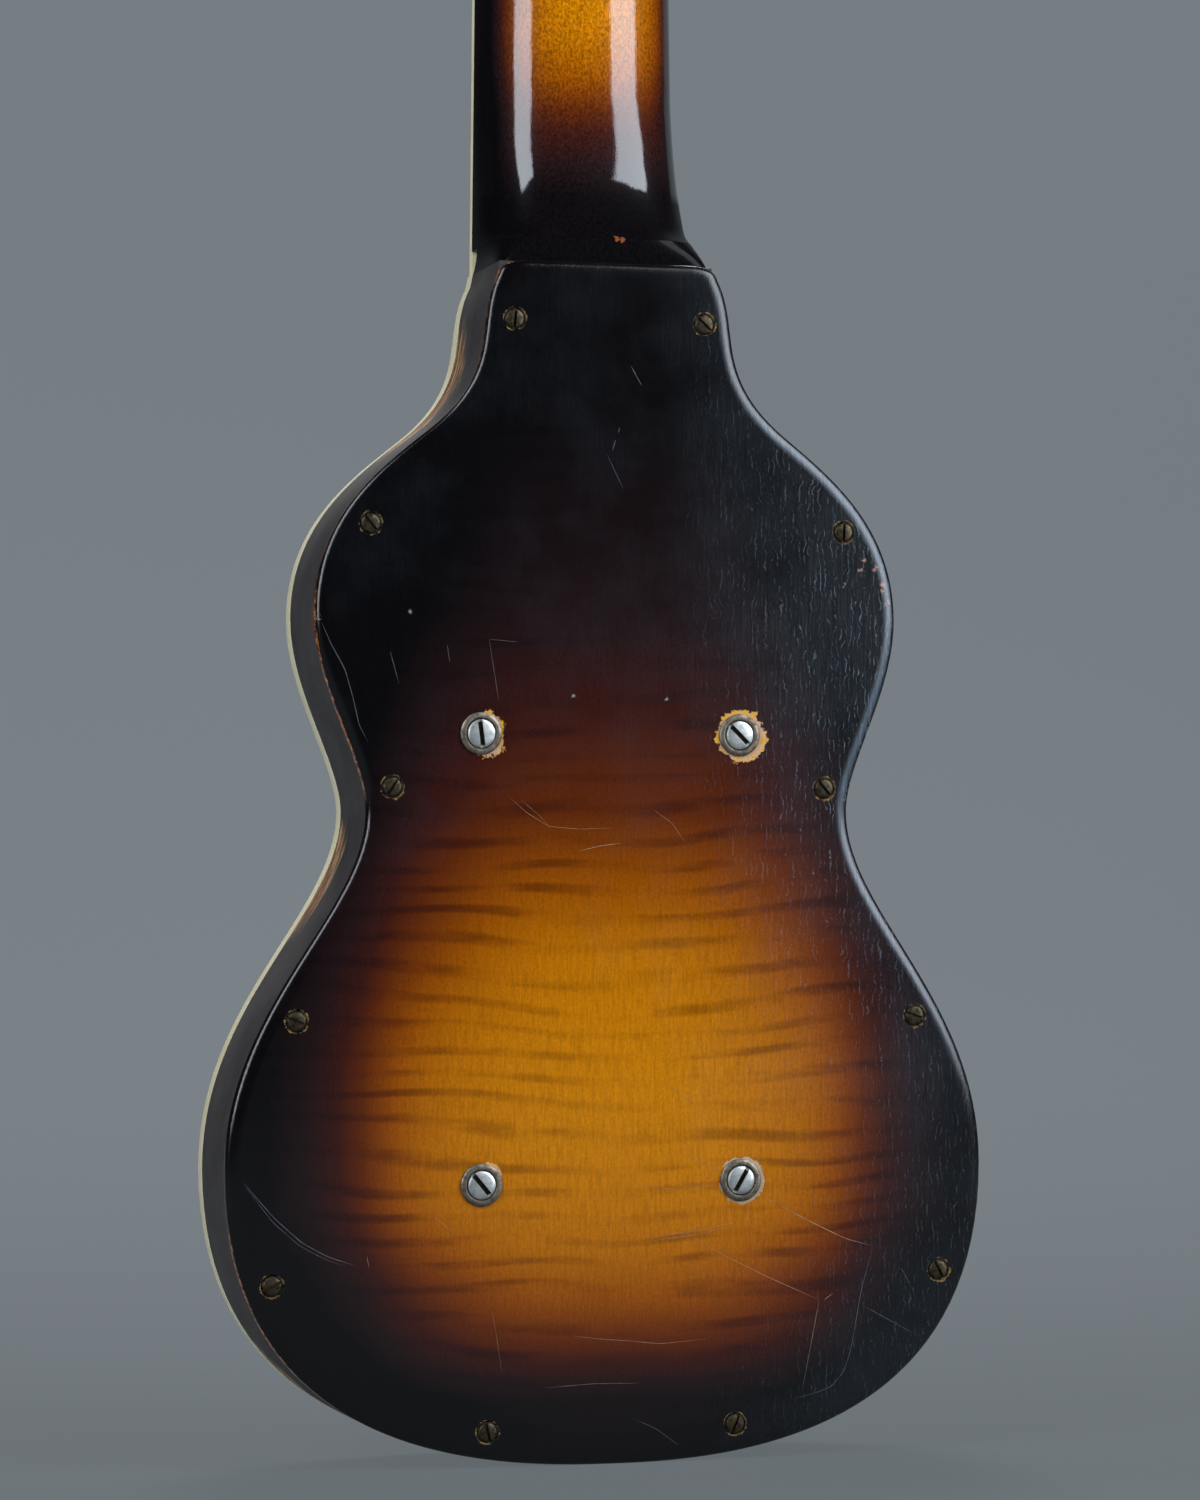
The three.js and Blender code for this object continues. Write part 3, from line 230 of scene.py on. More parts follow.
def piece(name, shell, finish, body="guitar", node=None, cutters=None):
    """One finished piece at the origin: cut, dressed, riding on its body and standing for its CAD node."""
    made = new_object(name, mesh_of(name, shell))
    if cutters is not None:
        tool = new_object(name + "_cutter", mesh_of(name + "_cutter", cutters))
        cut = made.modifiers.new("cut", "BOOLEAN")
        cut.operation, cut.object, cut.solver = "DIFFERENCE", tool, "EXACT"
        bpy.context.view_layer.update()
        whole = bpy.data.meshes.new_from_object(made.evaluated_get(bpy.context.evaluated_depsgraph_get()))
        made.modifiers.clear()
        made.data = whole
        bpy.data.objects.remove(tool)
        shade(whole)
    made.data.materials.clear()
    made.data.materials.append(finish)
    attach(made, body)
    if node:
        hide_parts(node)


# Finishes

def linear(code):
    """An sRGB hex value as linear light with full alpha."""
    parts = [int(code[i:i + 2], 16) / 255 for i in (1, 3, 5)]
    return tuple(c / 12.92 if c <= 0.04045 else ((c + 0.055) / 1.055) ** 2.4 for c in parts) + (1,)


def feed(node, feeds):
    """Sets a node's sockets, by name or by place: each to its value, or linked to the node or socket feeding it."""
    for name, value in feeds.items():
        if isinstance(value, bpy.types.Node):
            value = value.outputs[0]
        if isinstance(value, bpy.types.NodeSocket):
            node.id_data.links.new(value, node.inputs[name])
        else:
            node.inputs[name].default_value = value


def add_node(tree, kind, feeds=(), operation=None, stops=None, **settings):
    """Adds a shader node: feeds are its sockets' values or what feeds them, as a dict or in their own order (for a
    map range: value, from min, from max, to min, to max), and stops the places and values of a ramp."""
    made = tree.nodes.new("ShaderNode" + kind)
    if operation:
        made.operation = operation
    for name, value in settings.items():
        setattr(made, name, value)
    if stops:
        marks = made.color_ramp.elements
        while len(marks) < len(stops):
            marks.new(0.5)
        for mark, (at, value) in zip(marks, stops):
            mark.position = at
            mark.color = linear(value) if isinstance(value, str) else (value, value, value, 1)
    feed(made, feeds if isinstance(feeds, dict) else dict(enumerate(feeds)))
    return made


def new_finish(name, **sockets):
    """A material with one principled shader, what adds nodes to it, its object coordinates in mm from the back
    face, and these by axis."""
    made = bpy.data.materials.new(name)
    made.use_nodes = True
    made.node_tree.nodes.clear()
    add = partial(add_node, made.node_tree)
    shader = add("BsdfPrincipled", {k.replace("_", " "): v for k, v in sockets.items()})
    add("OutputMaterial", {"Surface": shader})
    mm = add("Mapping", {"Vector": add("TexCoord").outputs["Object"], "Location": (0, -1000 * BACK, 0),
                         "Scale": (1000, 1000, 1000)})
    return made, add, shader, mm, add("SeparateXYZ", {"Vector": mm}).outputs


def graded(add, value, low, high, pairs):
    """A value in mm read off a ramp from low to high: the pairs say what it gives at which mm."""
    share = add("MapRange", [value, low, high])
    return add("ValToRGB", [share], stops=[((at - low) / (high - low), level) for at, level in pairs])


def grains(add, mm, sizes, detail, roughness):
    """Noise with grains of about these sizes in mm along x, y and z."""
    stretched = add("Mapping", {"Vector": mm, "Scale": [1 / size for size in sizes]})
    return add("TexNoise", {"Vector": stretched, "Scale": 1, "Detail": detail, "Roughness": roughness})


def product(add, value, *shares):
    """A value multiplied by each of its shares."""
    for share in shares:
        value = add("Math", [value, share], "MULTIPLY")
    return value


def layered(add, colour, *layers):
    """A colour or a value under layers of (amount, tone), the last one uppermost."""
    for amount, tone in layers:
        colour = add("Mix", {0: amount, 6: colour, 7: tone}, data_type="RGBA").outputs[2]
    return colour


def worn_metal(name, colour, dark, roughness, grit):
    """A metal with cloudy tarnish over grit mm and fine pits: the tarnish is darker and duller."""
    made, add, shader, mm, axes = new_finish(name, Metallic=1)
    cloud = add("TexNoise", {"Vector": mm, "Scale": 1 / grit, "Detail": 5, "Roughness": 0.65})
    pits = add("TexNoise", {"Vector": mm, "Scale": 2.2, "Detail": 3})
    feed(shader, {
        "Base Color": add("ValToRGB", [cloud], stops=[(0.32, dark), (0.62, colour)]),
        "Roughness": add("MapRange", [cloud, 0, 1, roughness * 1.5, roughness * 0.8]),
        "Normal": add("Bump", {"Height": pits, "Strength": 0.12, "Distance": 0.0002})})
    return made


# Nickel plate on steel, brushed by years of wiping: a broad pale gleam with grey clouds 2.5 mm across
nickel_bright = worn_metal("nickel_plated_steel_bright", "#E6E8E6", "#A9ACAA", 0.4, 2.5)
# The same plating dulled by hands and damp: warmer, with brownish clouds 4 mm across
nickel_worn = worn_metal("nickel_plated_steel_worn", "#B9B4A8", "#6E675A", 0.3, 4)
# Bronzed steel that has lost its shine: brown-grey grains 1.6 mm across
ferrule_bronze = worn_metal("bronzed_steel_ferrule", "#9A8F80", "#5A5046", 0.45, 1.6)
# Blued steel gone brown: dark, with a dull sheen and grains 1.3 mm across
screw_steel = worn_metal("browned_steel_screw", "#5E5443", "#1E1B17", 0.42, 1.3)
# Packed grime in the slots of the plated screws: dull greenish brown, all but black
slot_dirt = worn_metal("slot_grime", "#3A382C", "#14130F", 0.8, 0.8)
# Bare steel wire, slightly tarnished along its length
string_steel = worn_metal("wound_string_steel", "#B4B0A6", "#7C766A", 0.28, 6)
# Cast cobalt steel as the foundry leaves it: dark grey and grainy
magnet_steel = worn_metal("cobalt_magnet_steel", "#5C5E60", "#3A3B3C", 0.5, 5)

# Gaps in mm between flame lines and between checking lines, and the span that the body's ramps are written over
FLAME_GAP, CHECK_GAP, BODY_SPAN = 8.5, 1.6, 380


def wood_under_lacquer(add, mm, axes, burst, flame_share, fleck_share):
    """Maple seen through the sprayed colour: amber through red-brown to black, darkened by flame lines across the
    grain, sin(TAU height / gap), by fibres 0.9 mm wide along it and by short flecks, each by its share."""
    sway = grains(add, mm, (110, 100, 40), 1, 0.4)
    off = add("Math", [axes["X"]], "ABSOLUTE")
    lean = add("MapRange", [axes["Z"], 20, 170, -0.13, -0.01])
    sloped = add("Math", [off, lean, axes["Z"]], "MULTIPLY_ADD")
    height = add("Math", [sway, 26, sloped], "MULTIPLY_ADD")
    wave = add("Math", [product(add, height, TAU / FLAME_GAP)], "SINE")
    line = add("MapRange", [wave, -0.1, 1], interpolation_type="SMOOTHSTEP")
    patch = add("MapRange", [grains(add, mm, (32, 100, 8), 2, 0.5), 0.36, 0.68], interpolation_type="SMOOTHSTEP")
    flame = product(add, line, patch, add("MapRange", [off, 4, 26, 0.35]),
                    add("MapRange", [burst, 0.5, 0.92, 1, 0.2]))
    grain = grains(add, mm, (0.9, 0.9, 9), 4, 0.8)
    fleck = grains(add, mm, (0.75, 0.75, 1.1), 2, 0.7)
    level = add("Math", [flame, 0.07 * flame_share, burst], "MULTIPLY_ADD")
    level = add("Math", [grain, 0.16, level], "MULTIPLY_ADD")
    level = add("Math", [level, 0.08], "SUBTRACT")
    colour = add("ValToRGB", [level], stops=[
        (0, "#C67A03"), (0.16, "#BA6E02"), (0.3, "#AA6002"), (0.44, "#944C02"), (0.55, "#7A3906"),
        (0.66, "#5C260B"), (0.77, "#3A1711"), (0.88, "#221314"), (1, "#0A090B")])
    shadow = product(add, add("MapRange", [flame, 0, 1, 1.12 - 0.15 * flame_share, 1.12 - 0.5 * flame_share]),
                     add("MapRange", [grain, 0.36, 0.6, 0.74, 1.09]),
                     add("MapRange", [fleck, 0.36, 0.62, 1 - 0.5 * fleck_share, 1 + 0.3 * fleck_share]))
    return add("VectorMath", {0: colour, "Scale": shadow}, "SCALE")


def rounded_join(add, first, second, power):
    """Two rises joined round their corner: (a^p + b^p)^(1/p)."""
    powers = [add("Math", [value, power], "POWER") for value in (first, second)]
    return add("Math", [add("Math", powers, "ADD"), 1 / power], "POWER")


def plate_burst(add, axes):
    """Distance out from the amber middle of the plate: a rise along the neck line and one across it, joined.
    Across, a steep rise in the lower bout and an even one at both ends are mixed."""
    along = graded(add, axes["Z"], 0, BODY_SPAN, (
        (0, 1), (20, 0.955), (35, 0.7), (50, 0.465), (65, 0.26), (80, 0.15), (100, 0.04), (115, 0), (140, 0.07),
        (155, 0.15), (170, 0.36), (185, 0.5), (200, 0.648), (215, 0.7), (230, 0.77), (245, 0.825), (260, 0.89),
        (280, 0.935), (330, 1)))
    even = graded(add, axes["Z"], 0, BODY_SPAN, (
        (0, 1), (55, 1), (65, 0.7), (80, 0.1), (100, 0), (120, 0.05), (140, 0.45), (155, 0.85), (168, 1)))
    off = add("Math", [add("Math", [axes["X"], 1.5], "SUBTRACT")], "ABSOLUTE")
    steep_rise = graded(add, off, 0, 110, (
        (0, 0), (30, 0.06), (50, 0.19), (60, 0.29), (70, 0.45), (80, 0.65), (90, 0.8), (100, 0.91), (110, 1)))
    even_rise = graded(add, off, 0, 110, (
        (0, 0), (20, 0.12), (40, 0.34), (50, 0.46), (60, 0.57), (70, 0.69), (80, 0.82), (90, 0.91), (100, 1)))
    return rounded_join(add, along, layered(add, steep_rise, (even, even_rise)), 2.5)


SCREW_SPOTS = [(39.57, 11.07), (106.69, 57.20), (99.09, 137.06), (69.36, 208.30), (76.06, 288.83), (30.51, 352.96)]
BRACE_SPOTS = [(41.5, 224.8), (41.5, 86.5)]


def chipped(add, axes, colour, spots, mirrored, noise, reach, spread, tone):
    """The colour with chips: the tone shows within reach + spread x noise mm of the closest of the spots, and of
    their mirror images where these count too."""
    across = add("Math", [axes["X"]], "ABSOLUTE") if mirrored else axes["X"]
    flat = add("CombineXYZ", {"X": across, "Z": axes["Z"]})
    least = None
    for x, z in spots:
        gap = add("VectorMath", [flat, (x, 0, z)], "DISTANCE").outputs["Value"]
        least = gap if least is None else add("Math", [least, gap], "MINIMUM")
    limit = add("Math", [noise, spread, reach], "MULTIPLY_ADD")
    return layered(add, colour, (add("MapRange", [add("Math", [limit, least], "SUBTRACT"), 0, 0.3]), tone))


def back_plate_finish():
    """Sprayed nitrocellulose lacquer eighty years old: a low sheen rubbed along the grain, bluish where it has
    hazed, with a painted bluish sheen towards the bass edge and a painted highlight on its rounding, split into
    fine wavering lines by the cold towards the bass edge, painted pale as where they catch the light, and chipped
    to pale wood round the screws and along the edge."""
    made, add, shader, mm, axes = new_finish("sunburst_lacquered_maple_plate", IOR=1.5, Specular_IOR_Level=0.46)
    colour = wood_under_lacquer(add, mm, axes, plate_burst(add, axes), 1, 0.25)
    # Haze and painted sheen: a bluish film from the middle to the bass edge, thin over the amber, in streaks along
    #     # the grain. In the colour it is painted sheen that rises towards the bass edge; in the roughness it is the
    #     haze
    rubs = grains(add, mm, (0.6, 2, 18), 5, 0.8)
    patchy = add("TexNoise", {"Vector": mm, "Scale": 0.022, "Detail": 5, "Roughness": 0.6})
    haze_sheen_spread = add("MapRange", [axes["X"], -20, 98, -0.12, 0.36])
    for more in (add("MapRange", [axes["Z"], 90, 230, -0.22, 0.03]), patchy):
        haze_sheen_spread = add("Math", [haze_sheen_spread, more], "ADD")
    haze_sheen_spread = add("MapRange", [haze_sheen_spread, 0.4, 0.85])
    streaked = add("MapRange", [rubs, 0.3, 0.7, 0.25, 1.5])
    haze_and_sheen = product(add, haze_sheen_spread, streaked)
    # Checking: fine lines along the grain, sin(TAU x / gap) with x drifting and quivering, and broken; in the colour
    #     # they are painted pale bluish as a highlight on their edges, and in the bump they sink a little
    drift = add("TexNoise", {"Vector": mm, "Scale": 0.1, "Detail": 4, "Roughness": 0.62})
    bent = add("Math", [drift, 9, axes["X"]], "MULTIPLY_ADD")
    crest = add("Math", [product(add, bent, TAU / CHECK_GAP)], "SINE")
    breaks = grains(add, mm, (1.3, 2, 9), 4, 0.7)
    checking_and_painted_glint = product(add, add("MapRange", [crest, 0.72, 1]), add("MapRange", [breaks, 0.5, 0.64]),
                    add("MapRange", [axes["X"], 20, 92]), add("MapRange", [axes["Z"], 120, 200, 0.3, 1]))
    # Painted highlight: a pale bluish band on the rounding of the bass edge, streaked like the haze
    painted_edge_highlight = product(add, add("MapRange", [axes["Y"], 0.005, 0.1]), add("MapRange", [axes["Y"], 0.3, 0.75, 1, 0]),
                    add("MapRange", [axes["X"], 30, 55]), add("MapRange", [axes["Z"], 110, 170]), streaked, 0.19)
    # Colour layers: the haze layer is partly painted sheen, the checking layer a painted highlight on real cracks,
    # the last a painted edge highlight
    colour = layered(add, colour, (product(add, haze_and_sheen, 0.045), linear("#6E8290")),
                     (product(add, checking_and_painted_glint, 0.38), linear("#A2B2C2")), (painted_edge_highlight, linear("#9DB4C8")))
    # Chips round the screws: a narrow broken ring at the wood screws, ragged flakes at the four machine screws
    ragged, tiny, torn = [add("TexNoise", {"Vector": mm, "Scale": scale, "Detail": detail, "Roughness": roughness})
                          for scale, detail, roughness in ((0.42, 4, 0.7), (0.9, 4, 0.8), (0.24, 6, 0.8))]
    bare = add("ValToRGB", [torn], stops=[(0.4, "#C89A78"), (0.5, "#CDA888"), (0.54, "#D29A38"), (0.65, "#DBA743")])
    ring_tone = add("ValToRGB", [ragged], stops=[
        (0.38, "#24211D"), (0.5, "#574D3E"), (0.6, "#8A6E40"), (0.72, "#B0823A")])
    for chips in (
            (SCREW_SPOTS, True, ragged, 2.55, 2.6, ring_tone),
            ([(-39.4, 226.8), (-38.9, 221.9)], False, torn, -0.9, 11, bare),
            ([(42, 224.6), (42.6, 224.2)], False, torn, 3.3, 9.3, bare),
            ([(-39.4, 88.9)], False, torn, 1.6, 6, bare),
            ([(42, 86.5)], False, ragged, 5.2, 4.4, linear("#B7A283")),
            ([(82.7, 280), (81.6, 276.9), (86.4, 277.5), (88.7, 272.5), (89.3, 270.6), (90.6, 266.9), (-92.6, 259.5)],
             False, tiny, -2.3, 6, linear("#9A7264")),
            ([(-12.2, 236.6), (18, 235.9), (-63.8, 261.8)], False, tiny, -1.6, 4.4, linear("#8A8680"))):
        colour = chipped(add, axes, colour, *chips)
    # Edge: rubbed to orange-brown wood over the stretches where the hands and the lap touch it
    places = []
    for treble_or_bass, levels in (
            (-1, ((0, 1), (14, 1), (20, 0.35), (32, 1), (68, 1), (76, 0), (204, 0), (212, 1), (262, 1), (270, 0.15),
                  (362, 0.2), (368, 1))),
            (1, ((0, 0.6), (3, 0), (66, 0), (72, 0.9), (84, 0.9), (90, 0), (196, 0.1), (208, 0.8), (280, 1),
                 (288, 0.2), (366, 0.1), (371, 1)))):
        on_side = add("Math", [product(add, axes["X"], treble_or_bass), 0], "GREATER_THAN")
        places.append(product(add, graded(add, axes["Z"], 0, BODY_SPAN, levels), on_side))
    outer = add("MapRange", [add("Math", [axes["X"]], "ABSOLUTE"), 27, 32])
    outer = add("Math", [outer, add("Math", [axes["Z"], 100], "LESS_THAN")], "MAXIMUM")
    rubbed = product(add, add("Math", places, "ADD"), outer, add("MapRange", [ragged, 0.44, 0.57, 0.12]),
                     add("MapRange", [axes["Y"], 1.15, 1.65]))
    raw = add("ValToRGB", [ragged], stops=[(0.35, "#5C2C16"), (0.5, "#9A5428"), (0.65, "#C8803C")])
    height = add("Math", [checking_and_painted_glint, -0.5, rubs], "MULTIPLY_ADD")
    feed(shader, {
        "Base Color": layered(add, colour, (rubbed, raw)),
        "Normal": add("Bump", {"Height": height, "Strength": 0.14, "Distance": 0.0003}),
        "Roughness": add("MapRange", [haze_and_sheen, 0, 1.4, 0.15, 0.28])})
    return made


def top_finish():
    """The same sprayed sunburst on the playing side, less handled: a clearer, deeper shine."""
    made, add, shader, mm, axes = new_finish(
        "sunburst_lacquered_maple_top", Roughness=0.25, Coat_Weight=0.6, Coat_Roughness=0.08)
    ripple = add("TexNoise", {"Vector": mm, "Scale": 0.1, "Detail": 3})
    feed(shader, {
        "Base Color": wood_under_lacquer(add, mm, axes, plate_burst(add, axes), 1, 0.25),
        "Coat Normal": add("Bump", {"Height": ripple, "Strength": 0.08, "Distance": 0.0005})})
    return made


def neck_burst(add, axes):
    """Amber along the back of the neck: it darkens round to the sides, towards the heel and towards the head."""
    along = graded(add, axes["Z"], 370, 840, (
        (370, 1), (394, 0.99), (399, 0.95), (404, 0.89), (409, 0.83), (415, 0.76), (422, 0.66), (431, 0.47),
        (444, 0.22), (454, 0.06), (480, 0), (605, 0.05), (640, 0.6), (670, 0.95), (840, 1)))
    deep = add("MapRange", [axes["Y"], 19, 46])
    across = add("ValToRGB", [deep], stops=[(0, 0), (0.14, 0.2), (0.27, 0.4), (0.38, 0.58), (0.5, 0.8), (0.62, 1)])
    return rounded_join(add, along, across, 2.2)


def neck_finish(name, gloss):
    """The same lacquer on the neck: amber speckled with short dark flecks 0.8 mm across and chipped at the heel's
    seam, dull at the heel, and polished by the hand to a clear gloss with fine rubbing from 397 mm up."""
    made, add, shader, mm, axes = new_finish(
        name, Roughness=0.3, Specular_IOR_Level=0.04, Coat_Roughness=0.05, Coat_IOR=1.52)
    wood = wood_under_lacquer(add, mm, axes, neck_burst(add, axes), 0, 0.9)
    ragged = add("TexNoise", {"Vector": mm, "Scale": 0.42, "Detail": 4, "Roughness": 0.7})
    rubs = grains(add, mm, (0.8, 0.8, 18), 4, 0.75)
    ripple = add("TexNoise", {"Vector": mm, "Scale": 0.07, "Detail": 2})
    height = add("Math", [rubs, 0.08, ripple], "MULTIPLY_ADD")
    seam_chips = [(3.4, 379.6), (5.2, 379.2)]
    feed(shader, {
        "Base Color": chipped(add, axes, wood, seam_chips, False, ragged, -0.7, 3.4, linear("#8A4A2A")),
        "Coat Weight": add("MapRange", [axes["Z"], 393.5, 397, 0.06, gloss]),
        "Coat Normal": add("Bump", {"Height": height, "Strength": 0.13, "Distance": 0.001})})
    return made


def dark_side_finish():
    """Black sprayed sides gone satin with age: an even soft grey sheen, worn in streaks to brown and to pale
    wood under the binding where the player's legs rub."""
    made, add, shader, mm, axes = new_finish("satin_black_lacquered_maple", Specular_IOR_Level=0.32)
    cloud = add("TexNoise", {"Vector": mm, "Scale": 0.05, "Detail": 5, "Roughness": 0.7})
    tone = add("ValToRGB", [cloud], stops=[(0.35, "#322F2F"), (0.65, "#3F3B3A")])
    streak = grains(add, mm, (50 / 3, 5 / 3, 50 / 3), 5, 0.75)
    reach = graded(add, axes["Z"], 0, BODY_SPAN, (
        (0, 0.5), (26, 0.92), (60, 0), (142, 0), (172, 0.9), (190, 0.9), (216, 0), (290, 0), (322, 1), (342, 1),
        (372, 0.1)))
    reach = product(add, reach, add("MapRange", [axes["X"], -10, 10, 1, 0.82]), add("MapRange", [axes["Y"], 8, 32]))
    worn = add("MapRange", [add("Math", [streak, reach], "ADD"), 1.12, 1.32])
    wood = add("ValToRGB", [streak], stops=[(0.4, "#5A3420"), (0.52, "#7A5234"), (0.62, "#B89C70")])
    feed(shader, {
        "Base Color": layered(add, tone, (worn, wood)),
        "Roughness": add("MapRange", [cloud, 0, 1, 0.66, 0.56]),
        "Normal": add("Bump", {"Height": streak, "Strength": 0.05, "Distance": 0.0004})})
    return made


def celluloid(name, light, dark):
    """Aged celluloid: yellowed unevenly, with a soft polished shine."""
    made, add, shader, mm, axes = new_finish(name, Coat_Weight=0.2, Coat_Roughness=0.15)
    cloud = add("TexNoise", {"Vector": mm, "Scale": 0.06, "Detail": 5, "Roughness": 0.65})
    feed(shader, {
        "Base Color": add("ValToRGB", [cloud], stops=[(0.35, dark), (0.65, light)]),
        "Roughness": add("MapRange", [cloud, 0, 1, 0.45, 0.28])})
    return made


def rosewood_finish():
    """Oiled rosewood: a dull sheen over red-brown and near-black streaks, with open pores along the board."""
    made, add, shader, mm, axes = new_finish("oiled_rosewood", Roughness=0.5)
    streak = grains(add, mm, (2.2, 2.2, 60), 6, 0.65)
    tone = add("ValToRGB", [streak], stops=[(0.3, "#1E100B"), (0.5, "#3E2318"), (0.7, "#5A3524")])
    hole = add("MapRange", [grains(add, mm, (0.3, 0.3, 3.5), 2, 0.5), 0.3, 0.42, 0.45])
    feed(shader, {
        "Base Color": add("VectorMath", {0: tone, "Scale": hole}, "SCALE"),
        "Normal": add("Bump", {"Height": hole, "Strength": 0.3, "Distance": 0.0002})})
    return made


def phenolic_finish():
    """Black phenolic from a polished mould: a clear dark shine, with grey dust in fine specks."""
    made, add, shader, mm, axes = new_finish("moulded_black_phenolic", Roughness=0.28)
    dust = add("TexNoise", {"Vector": mm, "Scale": 0.35, "Detail": 5, "Roughness": 0.7})
    feed(shader, {
        "Base Color": add("ValToRGB", [dust], stops=[(0.35, "#0C0C0C"), (0.7, "#1E1D1C")]),
        "Normal": add("Bump", {"Height": dust, "Strength": 0.08, "Distance": 0.0002})})
    return made


def bare_maple_finish():
    """Bare planed maple inside the body: pale and dull, with brown growth lines 4 mm apart."""
    made, add, shader, mm, axes = new_finish("planed_bare_maple", Roughness=0.7)
    grain = grains(add, mm, (4, 4, 80), 5, 0.5)
    feed(shader, {"Base Color": add("ValToRGB", [grain], stops=[(0.35, "#A87F4C"), (0.6, "#CBA56E")])})
    return made


def scratch_finish():
    """Lacquer scored by use: a whitish line where it is only bruised, pinkish tan where it is cut through the
    amber, fading in and out over a few millimetres."""
    made, add, shader, mm, axes = new_finish("scored_lacquer", Roughness=0.5)
    along = add("TexNoise", {"Vector": mm, "Scale": 0.25, "Detail": 4, "Roughness": 0.7})
    tan = add("ValToRGB", [along], stops=[(0.35, "#7C4416"), (0.65, "#A47A50")])
    grey = add("ValToRGB", [along], stops=[(0.35, "#222428"), (0.65, "#565C64")])
    dark = add("MapRange", [plate_burst(add, axes), 0.55, 0.95])
    feed(shader, {"Base Color": layered(add, tan, (dark, grey))})
    return made


plate_finish = back_plate_finish()
top_maple = top_finish()
neck_maple = neck_finish("glossy_lacquered_maple_neck", 1)
heel_maple = neck_finish("rubbed_lacquered_maple_heel", 0.08)
side_black = dark_side_finish()
cream = celluloid("cream_celluloid_binding", "#EEE3BC", "#DCCFA6")
ivory = celluloid("ivory_celluloid_button", "#E2D8B8", "#CBBD92")
rosewood = rosewood_finish()
black_plastic = phenolic_finish()
bare_maple = bare_maple_finish()
scored = scratch_finish()


# Body

SIDES = (("treble", -1), ("bass", 1))
BODY = body_outline()
PLATE = body_outline(9)
RIM_FRONT, FACE = 39.4, 46
JACK = (21.75, 91)
edge_turn = np.linspace(0, math.pi / 2, 9)
plate_levels = [(4.2 * (1 - math.sin(a)), 1.7 * (1 - math.cos(a))) for a in edge_turn] + [(0, 3.8), (0.15, 4)]
screws = [(sign * x, z) for x, z in SCREW_SPOTS for sign in (-1, 1)]
braces = [(sign * x, z) for x, z in BRACE_SPOTS for sign in (-1, 1)]
countersink = [(0, -1), (3.7, -1), (3.6, 0), (3.45, 0.6), (2, 2.4), (2, 5), (0, 5)]
piece("back_plate_maple", stack(PLATE, plate_levels), plate_finish, node="back_plate",
      cutters=joined(*[turned(countersink, 40, at) for at in screws], *[rod(5.8, -1, 5, 40, at) for at in braces]))


def rim_shape():
    """The sides: a closed band 14 mm thick round the body, whose inner line stops at the neck block, 330 mm up."""
    inner = moved(BODY, 14)
    inner[:, 1] = np.minimum(inner[:, 1], 330)
    outer_levels = [(0.5, 4.25), (0.15, 4.4), (0, 4.75), (0, 38.9), (0.15, 39.25), (0.5, RIM_FRONT)]
    return band(BODY, outer_levels, inner, (RIM_FRONT, 4.25))


HEEL_SEAM, NUT, NUT_HALF = 379.5, 670, 29.25


def neck_run(z):
    """How far up the neck from the heel's seam to the nut, from 0 to 1."""
    return np.clip((z - HEEL_SEAM) / (NUT - HEEL_SEAM), 0, 1)


def neck_half_width(z):
    """Half-width of the neck and fingerboard: the nut's, widening evenly by 3.55 to the heel's seam, and below it
    by a square curve to the body's corner."""
    return NUT_HALF + 3.55 * (1 - neck_run(z)) + 1.3 * np.clip((HEEL_SEAM - z) / 8.1, 0, 1) ** 2


def neck_rings(levels):
    """Neck sections: half superellipses |x/half|^power + |y/depth|^power = 1 that square up into the heel and the
    headstock, closed by the flat front."""
    z = np.asarray(levels, float)[:, None]
    rise = np.clip((HEEL_SEAM + 50 - z) / 50, 0, 1)
    head = np.clip((z - 634) / 36, 0, 1) ** 2
    depth = 27 - 5 * neck_run(z)
    depth = depth + (41.7 - depth) * rise ** 2.5
    depth = depth + (20 - depth) * head
    power = 2 + 1.5 * rise ** 1.4 + 14 * np.clip((386 - z) / 14.6, 0, 1) ** 3
    power = power + (7 - power) * head
    a = np.linspace(0, math.pi, 72)[None]
    x = neck_half_width(z) * signed_power(np.cos(a), 2 / power)
    return np.stack([x, FACE - depth * np.abs(np.sin(a)) ** (2 / power), z + 0 * a], -1)


piece("body_sides", rim_shape(), side_black, node="body_rim",
      cutters=joined(along_x(rod(9.15, 0, 6, 48), 118.25, *JACK), along_x(rod(5, 0, 30), 100, *JACK)))
piece("heel_block_maple", loft(neck_rings(np.linspace(371, HEEL_SEAM, 18))), heel_maple, node="body_rim",
      cutters=block(40, 14, 0.1, 1, (0, 374), RIM_FRONT, 50))
binding_levels = [(0, 39.42), (0, 45.5), (0.15, 45.85), (0.5, FACE), (1.6, FACE), (1.6, 39.42)]
piece("top_edge_binding", stack(BODY, binding_levels, hoop=True), cream, node="top_binding")
knob_spots = {"volume": (-88.324, 104.205), "tone": (-85.608, 65.351)}
PICKUP = (0, 150)
piece("top_board_maple", stack(BODY, [(1.62, 39.5), (1.62, FACE)]), top_maple, node="top_board",
      cutters=joined(block(32, 8.8, 0.5, 2, PICKUP, 38, 48),
                                            *[rod(4.8, 38, 48, 32, at) for at in knob_spots.values()]))


